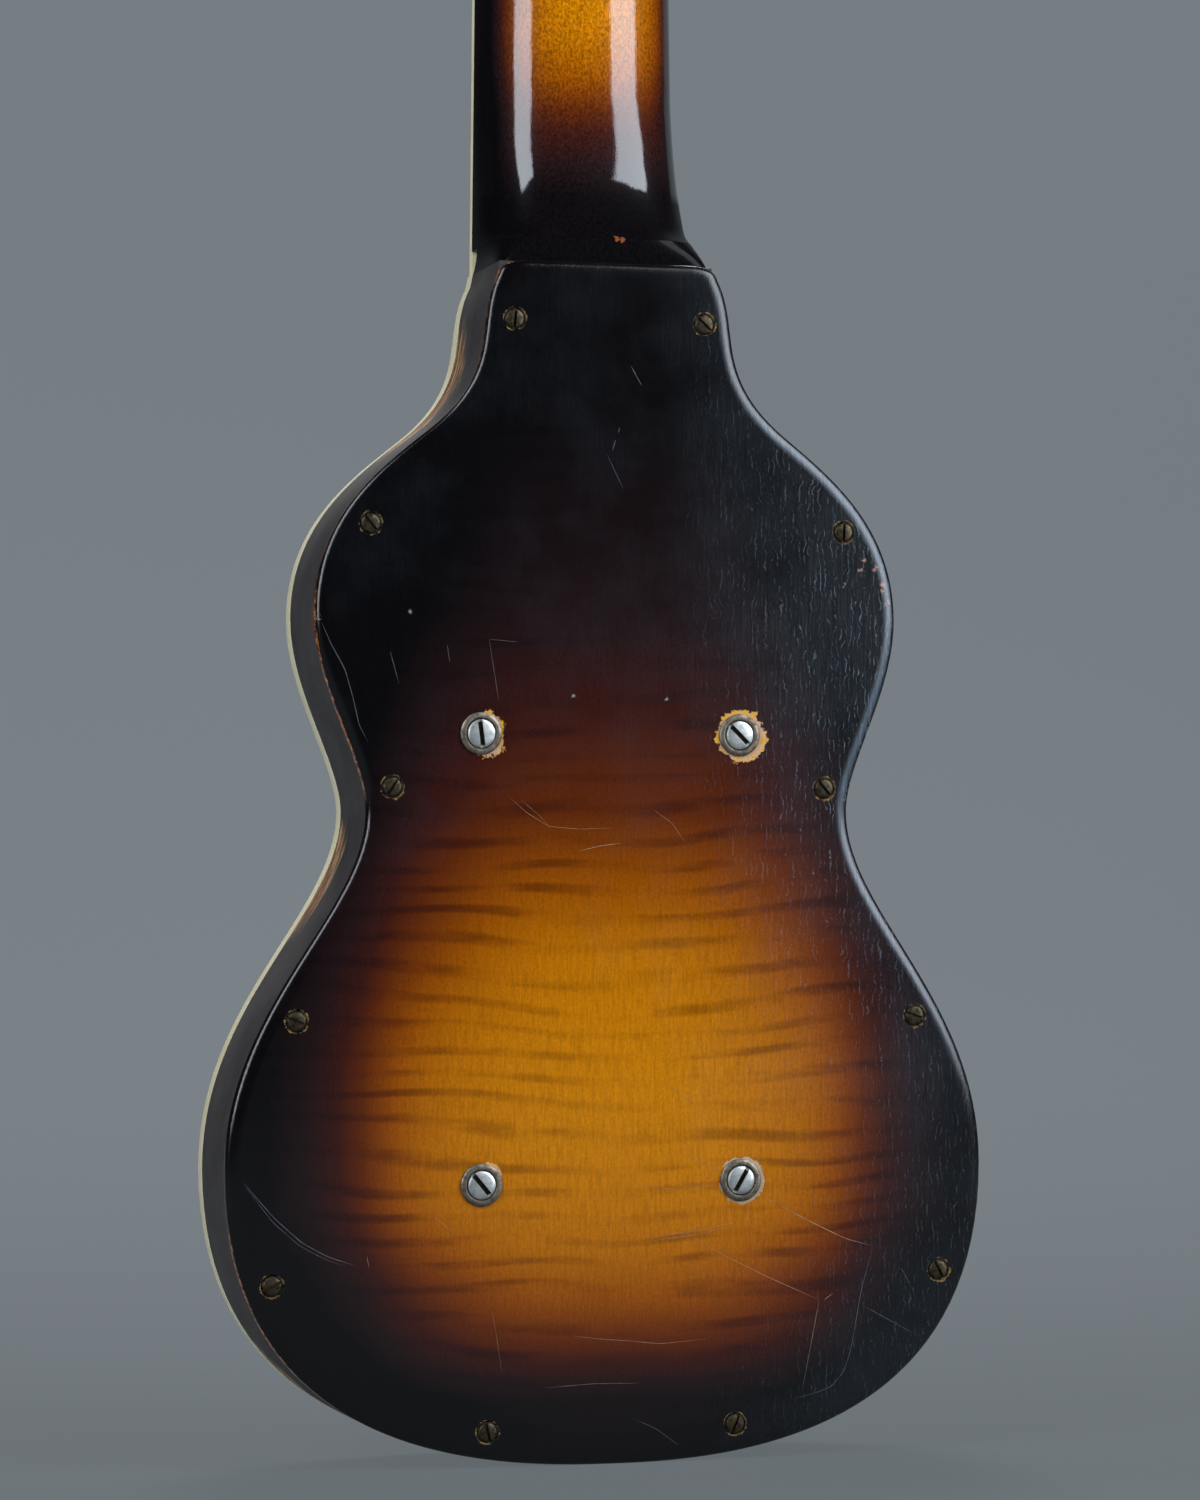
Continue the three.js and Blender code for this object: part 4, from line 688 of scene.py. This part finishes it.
def scratch(places, width):
    """A scratch: a strip along a smooth line through its places, 0.84 width (1 - u^4) wide for u from -1 to 1,
    standing 0.02 mm proud of the plate so that it catches the light as the bruised lacquer does."""
    given = np.array(places, float)
    run = np.concatenate([[0], np.cumsum(np.linalg.norm(np.diff(given, axis=0), axis=1))])
    t = np.linspace(0, run[-1], 6 * len(given))
    line = np.stack([np.interp(t, run, given[:, 0]), np.interp(t, run, given[:, 1])], 1)
    soft = np.vstack([line[:1], (line[:-2] + 2 * line[1:-1] + line[2:]) / 4, line[-1:]])
    along = np.gradient(soft, axis=0)
    along /= np.linalg.norm(along, axis=1, keepdims=True)
    half = 0.42 * width * (1 - np.linspace(-1, 1, len(t)) ** 4)[:, None].clip(0.08)
    side = np.stack([-along[:, 1], along[:, 0]], 1) * half
    return stack(np.vstack([soft - side, (soft + side)[::-1]]), [(0, -0.02), (0, 0.4)])


SCRATCHES = [
    (0.3, [(-115.5, 88.6), (-111.3, 83.7), (-105.8, 77.5), (-97.5, 70.1), (-89.5, 65.7), (-80.8, 62.8)]),
    (0.18, [(-114.9, 87.4), (-106.5, 76.5), (-98.2, 69.2), (-90, 64.8), (-84, 62.8)]),
    (0.32, [(47.8, 81.7), (65.8, 72.4), (76, 67.5), (84.9, 65.1)]),
    (0.2, [(84.9, 65.1), (80.9, 51.1), (77.5, 33.1), (75.2, 26.3), (70.9, 21.5), (65.6, 19.8), (58.4, 18.2)]),
    (0.22, [(25.1, 69.8), (33.8, 64.4), (50.4, 56.2), (67.1, 48.7)]),
    (0.2, [(67.1, 48.7), (63.7, 31.7), (61.4, 20.5)]),
    (0.25, [(71.7, 50.7), (68.7, 48.6)]),
    (0.18, [(81.9, 46.4), (98.1, 37.5)]),
    (0.22, [(94.2, 58), (97.1, 52.9)]),
    (0.28, [(-91.3, 258), (-88.5, 251.7), (-84.2, 244.1), (-81.7, 235.6), (-79.8, 227.1), (-77, 221.9)]),
    (0.2, [(-70.1, 249.8), (-67.3, 239.7)]),
    (0.18, [(-52.2, 252.1), (-51.3, 246.6)]),
    (0.14, [(-38.9, 253.8), (-35.8, 234.5)]),
    (0.14, [(-38.9, 253.8), (-29.4, 253)]),
    (0.28, [(6.6, 339.3), (10.1, 333.2)]),
    (0.14, [(-1.2, 311.7), (4, 301)]),
    (0.3, [(2.9, 320), (2.5, 318.4)]),
    (0.35, [(1.6, 316.2), (0.6, 312.8)]),
    (0.22, [(8.7, 86.2), (18, 84.2), (33.2, 85.1)]),
    (0.24, [(9.9, 69.2), (26, 71), (40.3, 73.5)]),
    (0.2, [(13, 68.3), (28, 70), (38, 72.3)]),
    (0.16, [(22.9, 95.2), (35.8, 88.8)]),
    (0.16, [(18.1, 116.6), (28.7, 108.7)]),
    (0.16, [(-57.1, 78), (-50.2, 71.8)]),
    (0.2, [(-21.5, 24.1), (-6, 24.9), (8.9, 24.6)]),
    (0.2, [(-12.5, 39.7), (-3.6, 38.5), (5.4, 37.7), (15.3, 36.5), (30.5, 37.6)]),
    (0.12, [(-38.2, 48), (-36.6, 39.2), (-35.1, 28.7)]),
    (0.2, [(-77.4, 65.6), (-76.7, 62.1)]),
    (0.14, [(5.9, 14), (13.6, 10.7), (21.7, 4.8)]),
    (0.16, [(-33.1, 205.8), (-27.3, 200.7), (-20.1, 196.3), (-10.1, 195.5), (0.9, 195.9)]),
    (0.14, [(13.1, 201.8), (19.6, 197.4), (23.7, 191.5)]),
    (0.3, [(-10.7, 188.7), (-3.7, 190.3), (3.4, 191.2)]),
    (0.12, [(-28.8, 204.4), (-22.8, 199.5), (-19, 195.2)]),
]
piece("plate_scratches", joined(*[scratch(line, width) for width, line in SCRATCHES]), scored)


# Neck and headstock

def head_half_width(z):
    """Half-width of the headstock: the nut's, flaring by a square curve to 38 mm at 698, then 2 mm less at 827."""
    flare = NUT_HALF + (38 - NUT_HALF) * np.clip((z - NUT) / 28, 0, 1) ** 2
    return np.where(z < 698, flare, 38 - 2 * np.clip((z - 698) / 129, 0, 1))


def head_shape():
    """The headstock: rings of a rectangle with soft edges, whose heights bend up into the crown's curve,
    8 (1 - |x/36|^1.7), near the end."""
    z = np.concatenate([[668, NUT, 673], np.linspace(675, 698, 12)[1:], np.linspace(700, 827, 26)])[:, None]
    half = head_half_width(z)
    share = np.sin(np.linspace(-math.pi / 2, math.pi / 2, 40))
    x = half * np.concatenate([share, share[::-1]])
    edge = np.clip((half - np.abs(x)) / 1.2, 0, 1)
    y = np.repeat((-1, 1), 40) * (7.5 - 1.2 * (1 - np.sqrt(1 - (1 - edge) ** 2)))
    bend = np.clip((z - 780) / 47, 0, 1) * 8 * (1 - np.abs(x / 36).clip(0, 1) ** 1.7)
    return loft(np.stack([x, 33.5 + y, z + bend], -1))


ledge_line = rounded_rectangle(NUT_HALF, 3.5, 0.2, 3)
ledge = loft([np.insert(ledge_line + (0, 42.5), 2, z, 1) for z in (666, 675)])
neck_levels = np.concatenate([np.linspace(379.56, 432, 60), np.linspace(440, 630, 24), np.linspace(634, NUT, 19)])
TUNER_X, POST_ROWS = 24, (702, 743, 784)
tuner_spots = dict(enumerate([(-TUNER_X, z) for z in POST_ROWS] + [(TUNER_X, z) for z in POST_ROWS[::-1]], 1))
piece("neck_maple", loft(neck_rings(neck_levels)), neck_maple, node="neck")
piece("headstock_maple", head_shape(), neck_maple, node="neck",
      cutters=joined(*[rod(3.3, 22, 44, 32, at) for at in tuner_spots.values()]))
piece("nut_ledge_maple", ledge, neck_maple, node="neck")


# Fingerboard, frets and nut

STRING_LENGTH = 572
FRETS = [NUT - STRING_LENGTH * (1 - 2 ** (-k / 12)) for k in range(1, 25)]
BOARD_START = FRETS[-1] - 7


def board_line(inset):
    """The tapering board's outline up to the nut, counter-clockwise seen from the back, with its sides and its
    lower end moved in."""
    z = np.array([BOARD_START + inset, NUT - 0.2])
    right = np.stack([neck_half_width(z) - inset, z], 1)
    return np.vstack([right, right[::-1] * (-1, 1)])


piece("fingerboard_rosewood", stack(board_line(1.55), [(0, 46.1), (0, 50.3), (0.2, 50.5)]), rosewood,
      node="fingerboard")
board_edge = band(board_line(0), [(0, 46.05), (0, 50.1), (0.4, 50.5)], board_line(1.5), (50.5, 46.05))
piece("fingerboard_edge_binding", board_edge, cream, node="fingerboard_binding")


def fret_wire(z):
    """A fret: a half-round crown 2.2 mm wide and 1 mm high, carried across the board with its ends rounded down."""
    half = float(neck_half_width(z)) - 2
    x = np.array([-half, -half + 0.3, -half + 1, half - 1, half - 0.3, half])[:, None]
    rise = np.array([0.15, 0.7, 1, 1, 0.7, 0.15])[:, None]
    a = np.linspace(0, math.pi, 9)[None]
    return loft(np.stack([x + 0 * a, 50.45 + rise * np.sin(a), z - 1.1 * np.cos(a) + 0 * x], -1))


piece("fret_wires", joined(*[fret_wire(z) for z in FRETS]), nickel_worn, node="fingerboard")
dots = []
for k in (3, 5, 7, 9, 12, 15, 17, 19, 21, 24):
    middle = (FRETS[k - 2] + FRETS[k - 1]) / 2
    for x in ((-12, 12) if k % 12 == 0 else (0,)):
        dots.append(turned([(0, 50.2), (3, 50.2), (3, 50.52), (2.8, 50.55), (0, 50.55)], 32, (x, middle)))
piece("position_dots", joined(*dots), ivory)


STRING_WIDTHS = (0.38, 0.46, 0.66, 0.86, 1.17, 1.42)
NUT_SPACING, BRIDGE_SPACING = 9.4, 10.2


def slots_at(z0, z1, spacing, line, top):
    """Cutters for the string slots in the nut, the bridge and the tailpiece, each 0.3 mm wider all round."""
    parts = []
    for i, width in enumerate(STRING_WIDTHS):
        half, x = width / 2 + 0.3, (i - 2.5) * spacing
        parts.append(block(half, (z1 - z0) / 2 + 1, 0.05, 1, (x, (z0 + z1) / 2), line - half, top))
    return joined(*parts)


def bar(section, half):
    """A bar across the guitar: its z, y section carried along x, drawn in by 0.3 mm at both ends."""
    line = np.array(section, float)
    return loft([np.insert(moved(line, inset)[:, ::-1], 0, x, 1)
                 for x, inset in ((-half, 0.3), (0.3 - half, 0), (half - 0.3, 0), (half, 0.3))])


nut_section = [(670.05, 46.2), (675, 46.2), (675, 59), (674.2, 59.8), (670.9, 59.8), (670.05, 59)]
piece("raised_nut", bar(nut_section, NUT_HALF), nickel_worn, node="nut",
      cutters=slots_at(NUT, 675, NUT_SPACING, 59, 62))
bridge_section = [(90, 46.1), (106, 46.1), (106, 48.4), (104.4, 50.1), (101.4, 51), (101, 51.6), (101, 59.2),
                  (100.3, 59.8), (98.7, 59.8), (98, 59.2), (98, 51.6), (97.4, 51.1), (92, 50.1), (90, 48.4)]
piece("bridge_bar", bar(bridge_section, 41), nickel_worn, node="bridge",
      cutters=slots_at(98, 101, BRIDGE_SPACING, 59, 62))
tail_section = [(28, 46.1), (52, 46.1), (52, 53.3), (51.4, 53.8), (50.4, 53.8), (50, 53.3), (50, 49.3), (49, 48.3),
                (28.5, 48.3), (28, 47.9)]
piece("tailpiece_sheet", bar(tail_section, 35), nickel_worn, node="tailpiece",
      cutters=slots_at(50, 52, BRIDGE_SPACING, 51, 56))


# Pickup

cover_levels = [(0, 46.05), (0, 50.3), (0.35, 51.3), (1.2, 51.9)]
blade_slot = block(29.3, 1.5, 0.4, 3, PICKUP, 40, 54)
under_cover = block(31.8, 8.8, 0.5, 2, PICKUP, 44, 50.4)
piece("pickup_cover_moulding", stack(rounded_rectangle(35.8, 12.8, 2, 6, PICKUP), cover_levels), black_plastic,
      node="pickup_cover", cutters=joined(blade_slot, under_cover))
piece("pickup_blade_bar", stack(rounded_rectangle(29, 1.2, 0.35, 3, PICKUP), [(0, 29.8), (0, 54.7), (0.3, 55)]),
      nickel_worn, node="pickup_blade")


# Screws in the back plate

def slot_cutter(top, depth, width, turn, at, reach):
    """A box that cuts a screw slot, turned counter-clockwise seen from the back."""
    shell = block(reach, width / 2, 0.05, 1, (0, 0), top - 1, top + depth)
    return drop(shell, at[0], 0, at[1], math.radians(turn))


def dome(radius, top, rise, steps):
    """A shallow dome: y = top - rise cos(a) with r = radius sin(a), from the middle to the rim."""
    a = np.linspace(0, math.pi / 2, steps)
    return list(zip(radius * np.sin(a), top - rise * np.cos(a)))


slot_turns = {"tail": (-78, 66), "side": (26, -62), "hip": (-24, -20), "waist": (56, -50), "shoulder": (-52, 86),
              "neck": (85, -43)}
for (name, turns), (x, z) in zip(slot_turns.items(), SCREW_SPOTS):
    for (side, sign), turn in zip(SIDES, turns):
        profile = dome(2.75, -0.03, 0.37, 8) + [(2.9, 0.35), (3.15, 0.5), (1.7, 2.3), (1.7, 17), (0, 22)]
        piece(f"wood_screw_{name}_{side}", turned(profile, 48, (sign * x, z)), screw_steel,
              node=f"back_screw_{name}_{side}",
              cutters=slot_cutter(-0.4, 0.9, 0.9, turn, (sign * x, z), 5))
grime = []
for row, (x, z), turns in zip(("upper", "lower"), BRACE_SPOTS, ((-83, -45), (-50, 60))):
    for (side, sign), turn in zip(SIDES, turns):
        at = (sign * x, z)
        head = dome(4, -0.67, 0.37, 8) + [(4.3, -0.58), (4.4, -0.4), (4.4, 1.3), (2.4, 1.3), (2.4, 22), (0, 22)]
        piece(f"machine_screw_{row}_{side}", turned(head, 64, at), nickel_bright, node=f"brace_screw_{row}_{side}",
              cutters=slot_cutter(-1.1, 1.1, 1.5, turn, at, 6))
        packed = block(3.6, 0.75, 0.05, 1, (0, 0), -0.3, 0.2)
        grime.append(drop(packed, at[0], 0, at[1], math.radians(turn)))
        cup = [(4.7, 1.6), (4.7, -0.6), (4.95, -0.95), (5.4, -1), (6.1, -0.9), (6.5, -0.6), (6.6, -0.05), (5.6, 0),
               (5.6, 4), (2.7, 4), (2.7, 1.6)]
        piece(f"ferrule_{row}_{side}", turned(cup, 64, at, hoop=True), ferrule_bronze,
              node=f"screw_ferrule_{row}_{side}")
piece("slot_grime", joined(*grime), slot_dirt)


# Knobs, jack and tuning machines

for name, at in knob_spots.items():
    profile = [(0, 52.4), (5.2, 52.4), (5.2, 47.3), (11.2, 47.2), (11.5, 47.5), (11.5, 49.7), (11.2, 50.1, 1),
               (8.9, 60.3, 1), (8.4, 61), (7.6, 61.2), (4.5, 61), (0, 61)]
    pointer = stack(rounded_rectangle(0.7, 3.6, 0.3, 3, (at[0], at[1] + 4.2)), [(0, 59), (0, 61.6), (0.2, 61.8)])
    piece(f"{name}_knob_body", turned(profile, 144, at, 24, 0.7), black_plastic, body=f"{name}_knob",
          node=f"{name}_knob")
    piece(f"{name}_knob_pointer", pointer, ivory, body=f"{name}_knob", node=f"{name}_knob")

jack_profile = [(0, 89.65), (8, 89.65), (8, 105.65), (4.8, 105.65), (4.8, 118.55), (9, 118.55), (9, 120.1),
                (8.7, 120.5), (6.2, 120.55), (6, 120.3), (5.4, 120.3), (5.2, 120.55), (3.6, 120.55), (3.4, 120.3),
                (3.4, 91.65), (0, 91.65)]
piece("jack_socket", along_x(turned(jack_profile, 48), 0, *JACK), nickel_worn, node="output_jack")
TEETH, MESH_RADIUS = 12, 5.6


def gear_ring(y):
    """A toothed wheel's outline: the radius steps between root and tip with sloping flanks."""
    a = np.arange(96) * TAU / 96
    r = 4.9 + 1.1 * np.clip(1.6 * np.cos(TEETH * a + math.pi) + 0.35, 0, 1)
    return np.stack([r * np.sin(a), y + 0 * a, r * np.cos(a)], 1)


def worm():
    """The worm on the button's shaft: r swells from 1.8 to 2.85 where the thread passes,
    r = 1.8 + 1.05 ridge(x / lead - a / TAU)."""
    lead = TAU * MESH_RADIUS / TEETH
    x = np.linspace(-3.9, 3.9, 79)
    a = np.arange(32) * TAU / 32
    wave = np.cos(TAU * (x[:, None] / lead) - a[None])
    ridge = np.clip(wave * 1.7 - 0.5, 0, 1) * (np.abs(x) < 3.7)[:, None]
    r = 1.8 + 1.05 * ridge
    return loft(np.stack([np.repeat(x[:, None], 32, 1), r * np.sin(a), -r * np.cos(a)], -1))


def button_shape(sign):
    """A flattened oval button: |x/7.5|^2.4 + |y/3.5|^2.4 + |z/8.5|^2.4 = 1, waisted a little at the shaft."""
    u = np.linspace(-math.pi / 2, math.pi / 2, 25)[:, None]
    v = np.arange(40)[None] * TAU / 40
    e = 2 / 2.4
    waist = (1 - 0.16 * np.clip(-sign * np.sin(u), 0, 1) ** 2) * signed_power(np.cos(u), e)
    x = 7.5 * signed_power(np.sin(u), e) + 0 * v
    y = 3.5 * waist * signed_power(np.cos(v), e)
    z = 8.5 * waist * signed_power(np.sin(v), e)
    return loft(np.stack([x, y, z], -1))


SHAFT_Y, SHAFT_RISE = 21.2, 8.2
for number, (x, z) in tuner_spots.items():
    sign = 1 if x > 0 else -1
    post_profile = [(0, 19.9), (3, 19.9), (3, 56.6), (3.7, 56.8), (3.9, 57.1), (3.9, 57.6), (3.6, 58), (0, 58)]
    gear_levels = [(19.95, 0.96), (20.2, 1), (22.2, 1), (22.5, 0.96)]
    gear = loft([gear_ring(y) * (share, 1, share) for y, share in gear_levels])
    piece(f"post_{number}", joined(turned(post_profile, 40, (x, z)), drop(gear, x, 0, z)), nickel_worn,
          body=f"tuner_post_{number}", node=f"tuner_post_{number}")
    profile = [(0, -6.2), (1.6, -6.2), (1.8, -6), (1.8, 17), (2.6, 17), (2.8, 17.4), (2.8, 18.2), (0, 18.2)]
    shaft = along_x(turned([(r, along * sign) for r, along in profile], 32))
    button = f"tuner_button_{number}"
    piece(f"worm_{number}", drop(joined(shaft, worm()), x, SHAFT_Y, z + SHAFT_RISE), nickel_worn,
          body=button, node=button)
    piece(f"button_{number}", drop(button_shape(sign), sign * 47.3, SHAFT_Y, z + SHAFT_RISE), ivory,
          body=button, node=button)

for side, sign in SIDES:
    middle = sign * TUNER_X
    parts = [stack(rounded_rectangle(11.5, 57.1, 3, 6, (middle, 747.1)),
                   [(0.2, 24.5), (0, 24.7), (0, 25.5), (0.2, 25.7)])]
    for z in POST_ROWS:
        for x in (middle - 5.27, middle + 5.27):
            ear_line = rounded_rectangle(0.7, 3.2, 0.3, 3, (x, z + SHAFT_RISE))
            parts.append(stack(ear_line, [(0.15, 17.7), (0, 17.9), (0, 24.9)]))
    head = dome(2.2, 24.5, 0.7, 5) + [(2.2, 25), (0, 25)]
    parts += [turned(head, 24, (middle, z)) for z in (694, 722.5, 763.5, 800.5)]
    holes = [rod(3.3, 20, 28, 32, (middle, z)) for z in POST_ROWS]
    holes += [along_x(rod(2.1, -8, 8, 24), middle, SHAFT_Y, z + SHAFT_RISE) for z in POST_ROWS]
    piece(f"machine_plate_{side}", joined(*parts), nickel_worn, node=f"tuner_plate_{side}",
          cutters=joined(*holes))


# Strings

def string_path(number, diameter):
    """The path of one string: from its ball over the bridge and the nut, then two turns round its post."""
    sign = -1 if number <= 3 else 1
    x, z = tuner_spots[number]
    step = number - 3.5
    start = np.array([step * BRIDGE_SPACING, 51, 48.2])
    bridge = np.array([step * BRIDGE_SPACING, 59, 99])
    nut = np.array([step * NUT_SPACING, 59, 675.3])
    radius = 3.3 + diameter / 2
    to_post = np.array([x - nut[0], z - nut[2]])
    length = np.linalg.norm(to_post)
    lean = sign * math.asin(radius / length)
    straight = math.sqrt(length ** 2 - radius ** 2)
    unit = to_post / length
    touch = straight * np.array([unit[0] * math.cos(lean) - unit[1] * math.sin(lean),
                                 unit[0] * math.sin(lean) + unit[1] * math.cos(lean)])
    begin = math.atan2(nut[2] + touch[1] - z, nut[0] + touch[0] - x)
    turns = np.linspace(0, 2, 73)
    a = begin - sign * TAU * turns
    winding = np.stack([x + radius * np.cos(a), 54 - (diameter + 0.5) * turns, z + radius * np.sin(a)], 1)
    return np.vstack([np.linspace(start, bridge, 8)[:-1], np.linspace(bridge, nut, 24)[:-1],
                      np.linspace(nut, winding[0], 8)[:-1], winding])


for number, diameter in enumerate(STRING_WIDTHS, 1):
    path = string_path(number, diameter)
    ball = [(0, -1.5), (1.6, -1.5), (1.9, -1.1), (1.9, 1.1), (1.6, 1.5), (0, 1.5)]
    p, *faces = turned(ball, 24)
    ball_end = (np.stack([p[:, 0] + path[0, 0], p[:, 2] + 51, p[:, 1] + 48.2], 1), *faces)
    piece(f"string_{number}_wire", joined(tube(path, diameter / 2), ball_end), string_steel,
          node=f"string_{number}")


# Carried-over CAD nodes inside the body

for name, finish in {"inner_brace": bare_maple, "pickup_coil": black_plastic, "pickup_magnet": magnet_steel,
                     "volume_pot": nickel_worn, "tone_pot": nickel_worn}.items():
    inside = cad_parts[name].data.materials
    inside.clear()
    inside.append(finish)


# Floor, light and camera

def studio():
    """A pale paper sweep: a floor that curves up into a wall, as a line of (y, z) carried across 32 m."""
    paper, add, shader, mm, axes = new_finish("matt_paper_sweep", Roughness=0.9)
    speck = add("TexNoise", {"Vector": mm, "Scale": 0.004, "Detail": 2})
    feed(shader, {"Base Color": add("ValToRGB", [speck], stops=[(0.3, "#94999D"), (0.7, "#989DA1")])})
    # Painted shade: camera, glossy and transmission rays see this tone, pale on the wall and darker in a band across
    # the floor round the guitar's spot
    painted_shade_tone = add("ValToRGB", [add("MapRange", [axes["Y"], -3000, 3000])], stops=[
        (0.1, "#788086"), (0.35, "#6C7378"), (0.49, "#646B6F"), (0.6, "#6E757A"), (0.84, "#777F85"), (1, "#788086")])
    seen = add("LightPath").outputs
    direct = add("Math", [seen["Is Camera Ray"], seen["Is Glossy Ray"]], "MAXIMUM")
    direct = add("Math", [direct, seen["Is Transmission Ray"]], "MAXIMUM")
    mixed = add("MixShader", {0: product(add, direct, 0.92), 1: shader, 2: add("Emission", {"Color": painted_shade_tone})})
    feed(paper.node_tree.nodes["Material Output"], {"Surface": mixed})
    side, bend_start, bend = 16000, 1600, 1400
    a = np.linspace(0, math.pi / 2, 25)
    curve = np.stack([bend_start + bend * np.sin(a), bend * (1 - np.cos(a))], 1)
    line = np.vstack([[(-side, 0)], curve, [(bend_start + bend, 9000)]])
    points = np.insert(np.repeat(line, 2, 0), 0, np.tile((-side, side), len(line)), 1)
    rows = np.arange(len(line) - 1)[:, None] * 2
    faces = np.concatenate([rows, rows + 1, rows + 3, rows + 2], 1).tolist()
    mesh = bpy.data.meshes.new("paper_sweep")
    mesh.from_pydata((points * 0.001).tolist(), [], faces)
    mesh.shade_smooth()
    mesh.materials.append(paper)
    new_object("paper_sweep", mesh)


def dark_flag():
    """A black cloth round the back's side, x = r sin a, y = -r cos a with r = 2.2 m and a from -168 to 118 degrees:
    only reflections meet it, and they keep the gloss deep as in a dark room."""
    cloth, add, shader, mm, axes = new_finish("black_studio_cloth", Roughness=0.95)
    weave = add("TexNoise", {"Vector": mm, "Scale": 0.01})
    feed(shader, {"Base Color": add("ValToRGB", [weave], stops=[(0.3, "#08080A"), (0.7, "#0D0D0F")])})
    a = np.radians(np.linspace(-168, 118, 47))
    points = np.stack([np.tile(2.2 * np.sin(a), 2), np.tile(-2.2 * np.cos(a), 2), np.repeat([0, 12], 47)], 1)
    here = np.arange(46)
    mesh = bpy.data.meshes.new("dark_flag")
    mesh.from_pydata(points.tolist(), [], np.stack([here + 1, here, here + 47, here + 48], 1).tolist())
    mesh.materials.append(cloth)
    flag = new_object("dark_flag", mesh)
    flag.visible_camera = flag.visible_diffuse = flag.visible_shadow = flag.visible_transmission = False


def heading(azimuth, elevation):
    """A unit vector from its angles in degrees: azimuth 0 is behind the guitar's back."""
    a, e = math.radians(azimuth), math.radians(elevation)
    return Vector((math.sin(a) * math.cos(e), -math.cos(a) * math.cos(e), math.sin(e)))


def softbox(name, azimuth, elevation, distance, width, height, radiance, colour):
    """A rectangular softbox in a direction seen from 0.35 m up the guitar, which it faces."""
    lamp = bpy.data.lights.new(name, "AREA")
    lamp.shape, lamp.size, lamp.size_y = "RECTANGLE", width, height
    lamp.energy = radiance * math.pi * width * height
    lamp.color = colour
    made = new_object(name, lamp)
    out = heading(azimuth, elevation)
    made.location = Vector((0, 0, 0.35)) + distance * out
    made.rotation_euler = out.to_track_quat("Z", "Y").to_euler()
    made.visible_camera = False


studio()
dark_flag()
softbox("softbox_right", 48, 23, 1.5, 0.75, 1.42, 7.8, (0.9, 0.97, 1.06))
softbox("softbox_left", -57, 24, 1.5, 0.55, 1.45, 7.8, (0.9, 0.97, 1.06))
softbox("softbox_front", 166, 46, 2.2, 0.8, 1.3, 15, (1, 1, 1))

world = bpy.data.worlds.new("studio")
bpy.context.scene.world = world
world.use_nodes = True
add = partial(add_node, world.node_tree)
seen = add("LightPath").outputs
direct = add("Math", [seen["Is Camera Ray"], seen["Is Transmission Ray"]], "MAXIMUM")
around = add("Mix", {0: direct, 6: (0.07, 0.072, 0.076, 1), 7: linear("#788086")}, data_type="RGBA")
feed(world.node_tree.nodes["Background"], {"Color": around.outputs[2]})

camera = bpy.data.cameras.new("camera")
camera.sensor_fit, camera.sensor_height, camera.sensor_width = "VERTICAL", 36, 36.0
camera.lens = 109.8
camera.clip_end = 50
eye = new_object("camera", camera)
back = heading(-15.6, -1.71)
eye.location = Vector((-0.0036, BACK, 0.21995)) + 1.414 * back
eye.rotation_mode = "QUATERNION"
eye.rotation_quaternion = back.to_track_quat("Z", "Y") @ Quaternion((0, 0, 1), math.radians(-0.1))
bpy.context.scene.camera = eye
bpy.context.scene.view_settings.view_transform = "Standard"
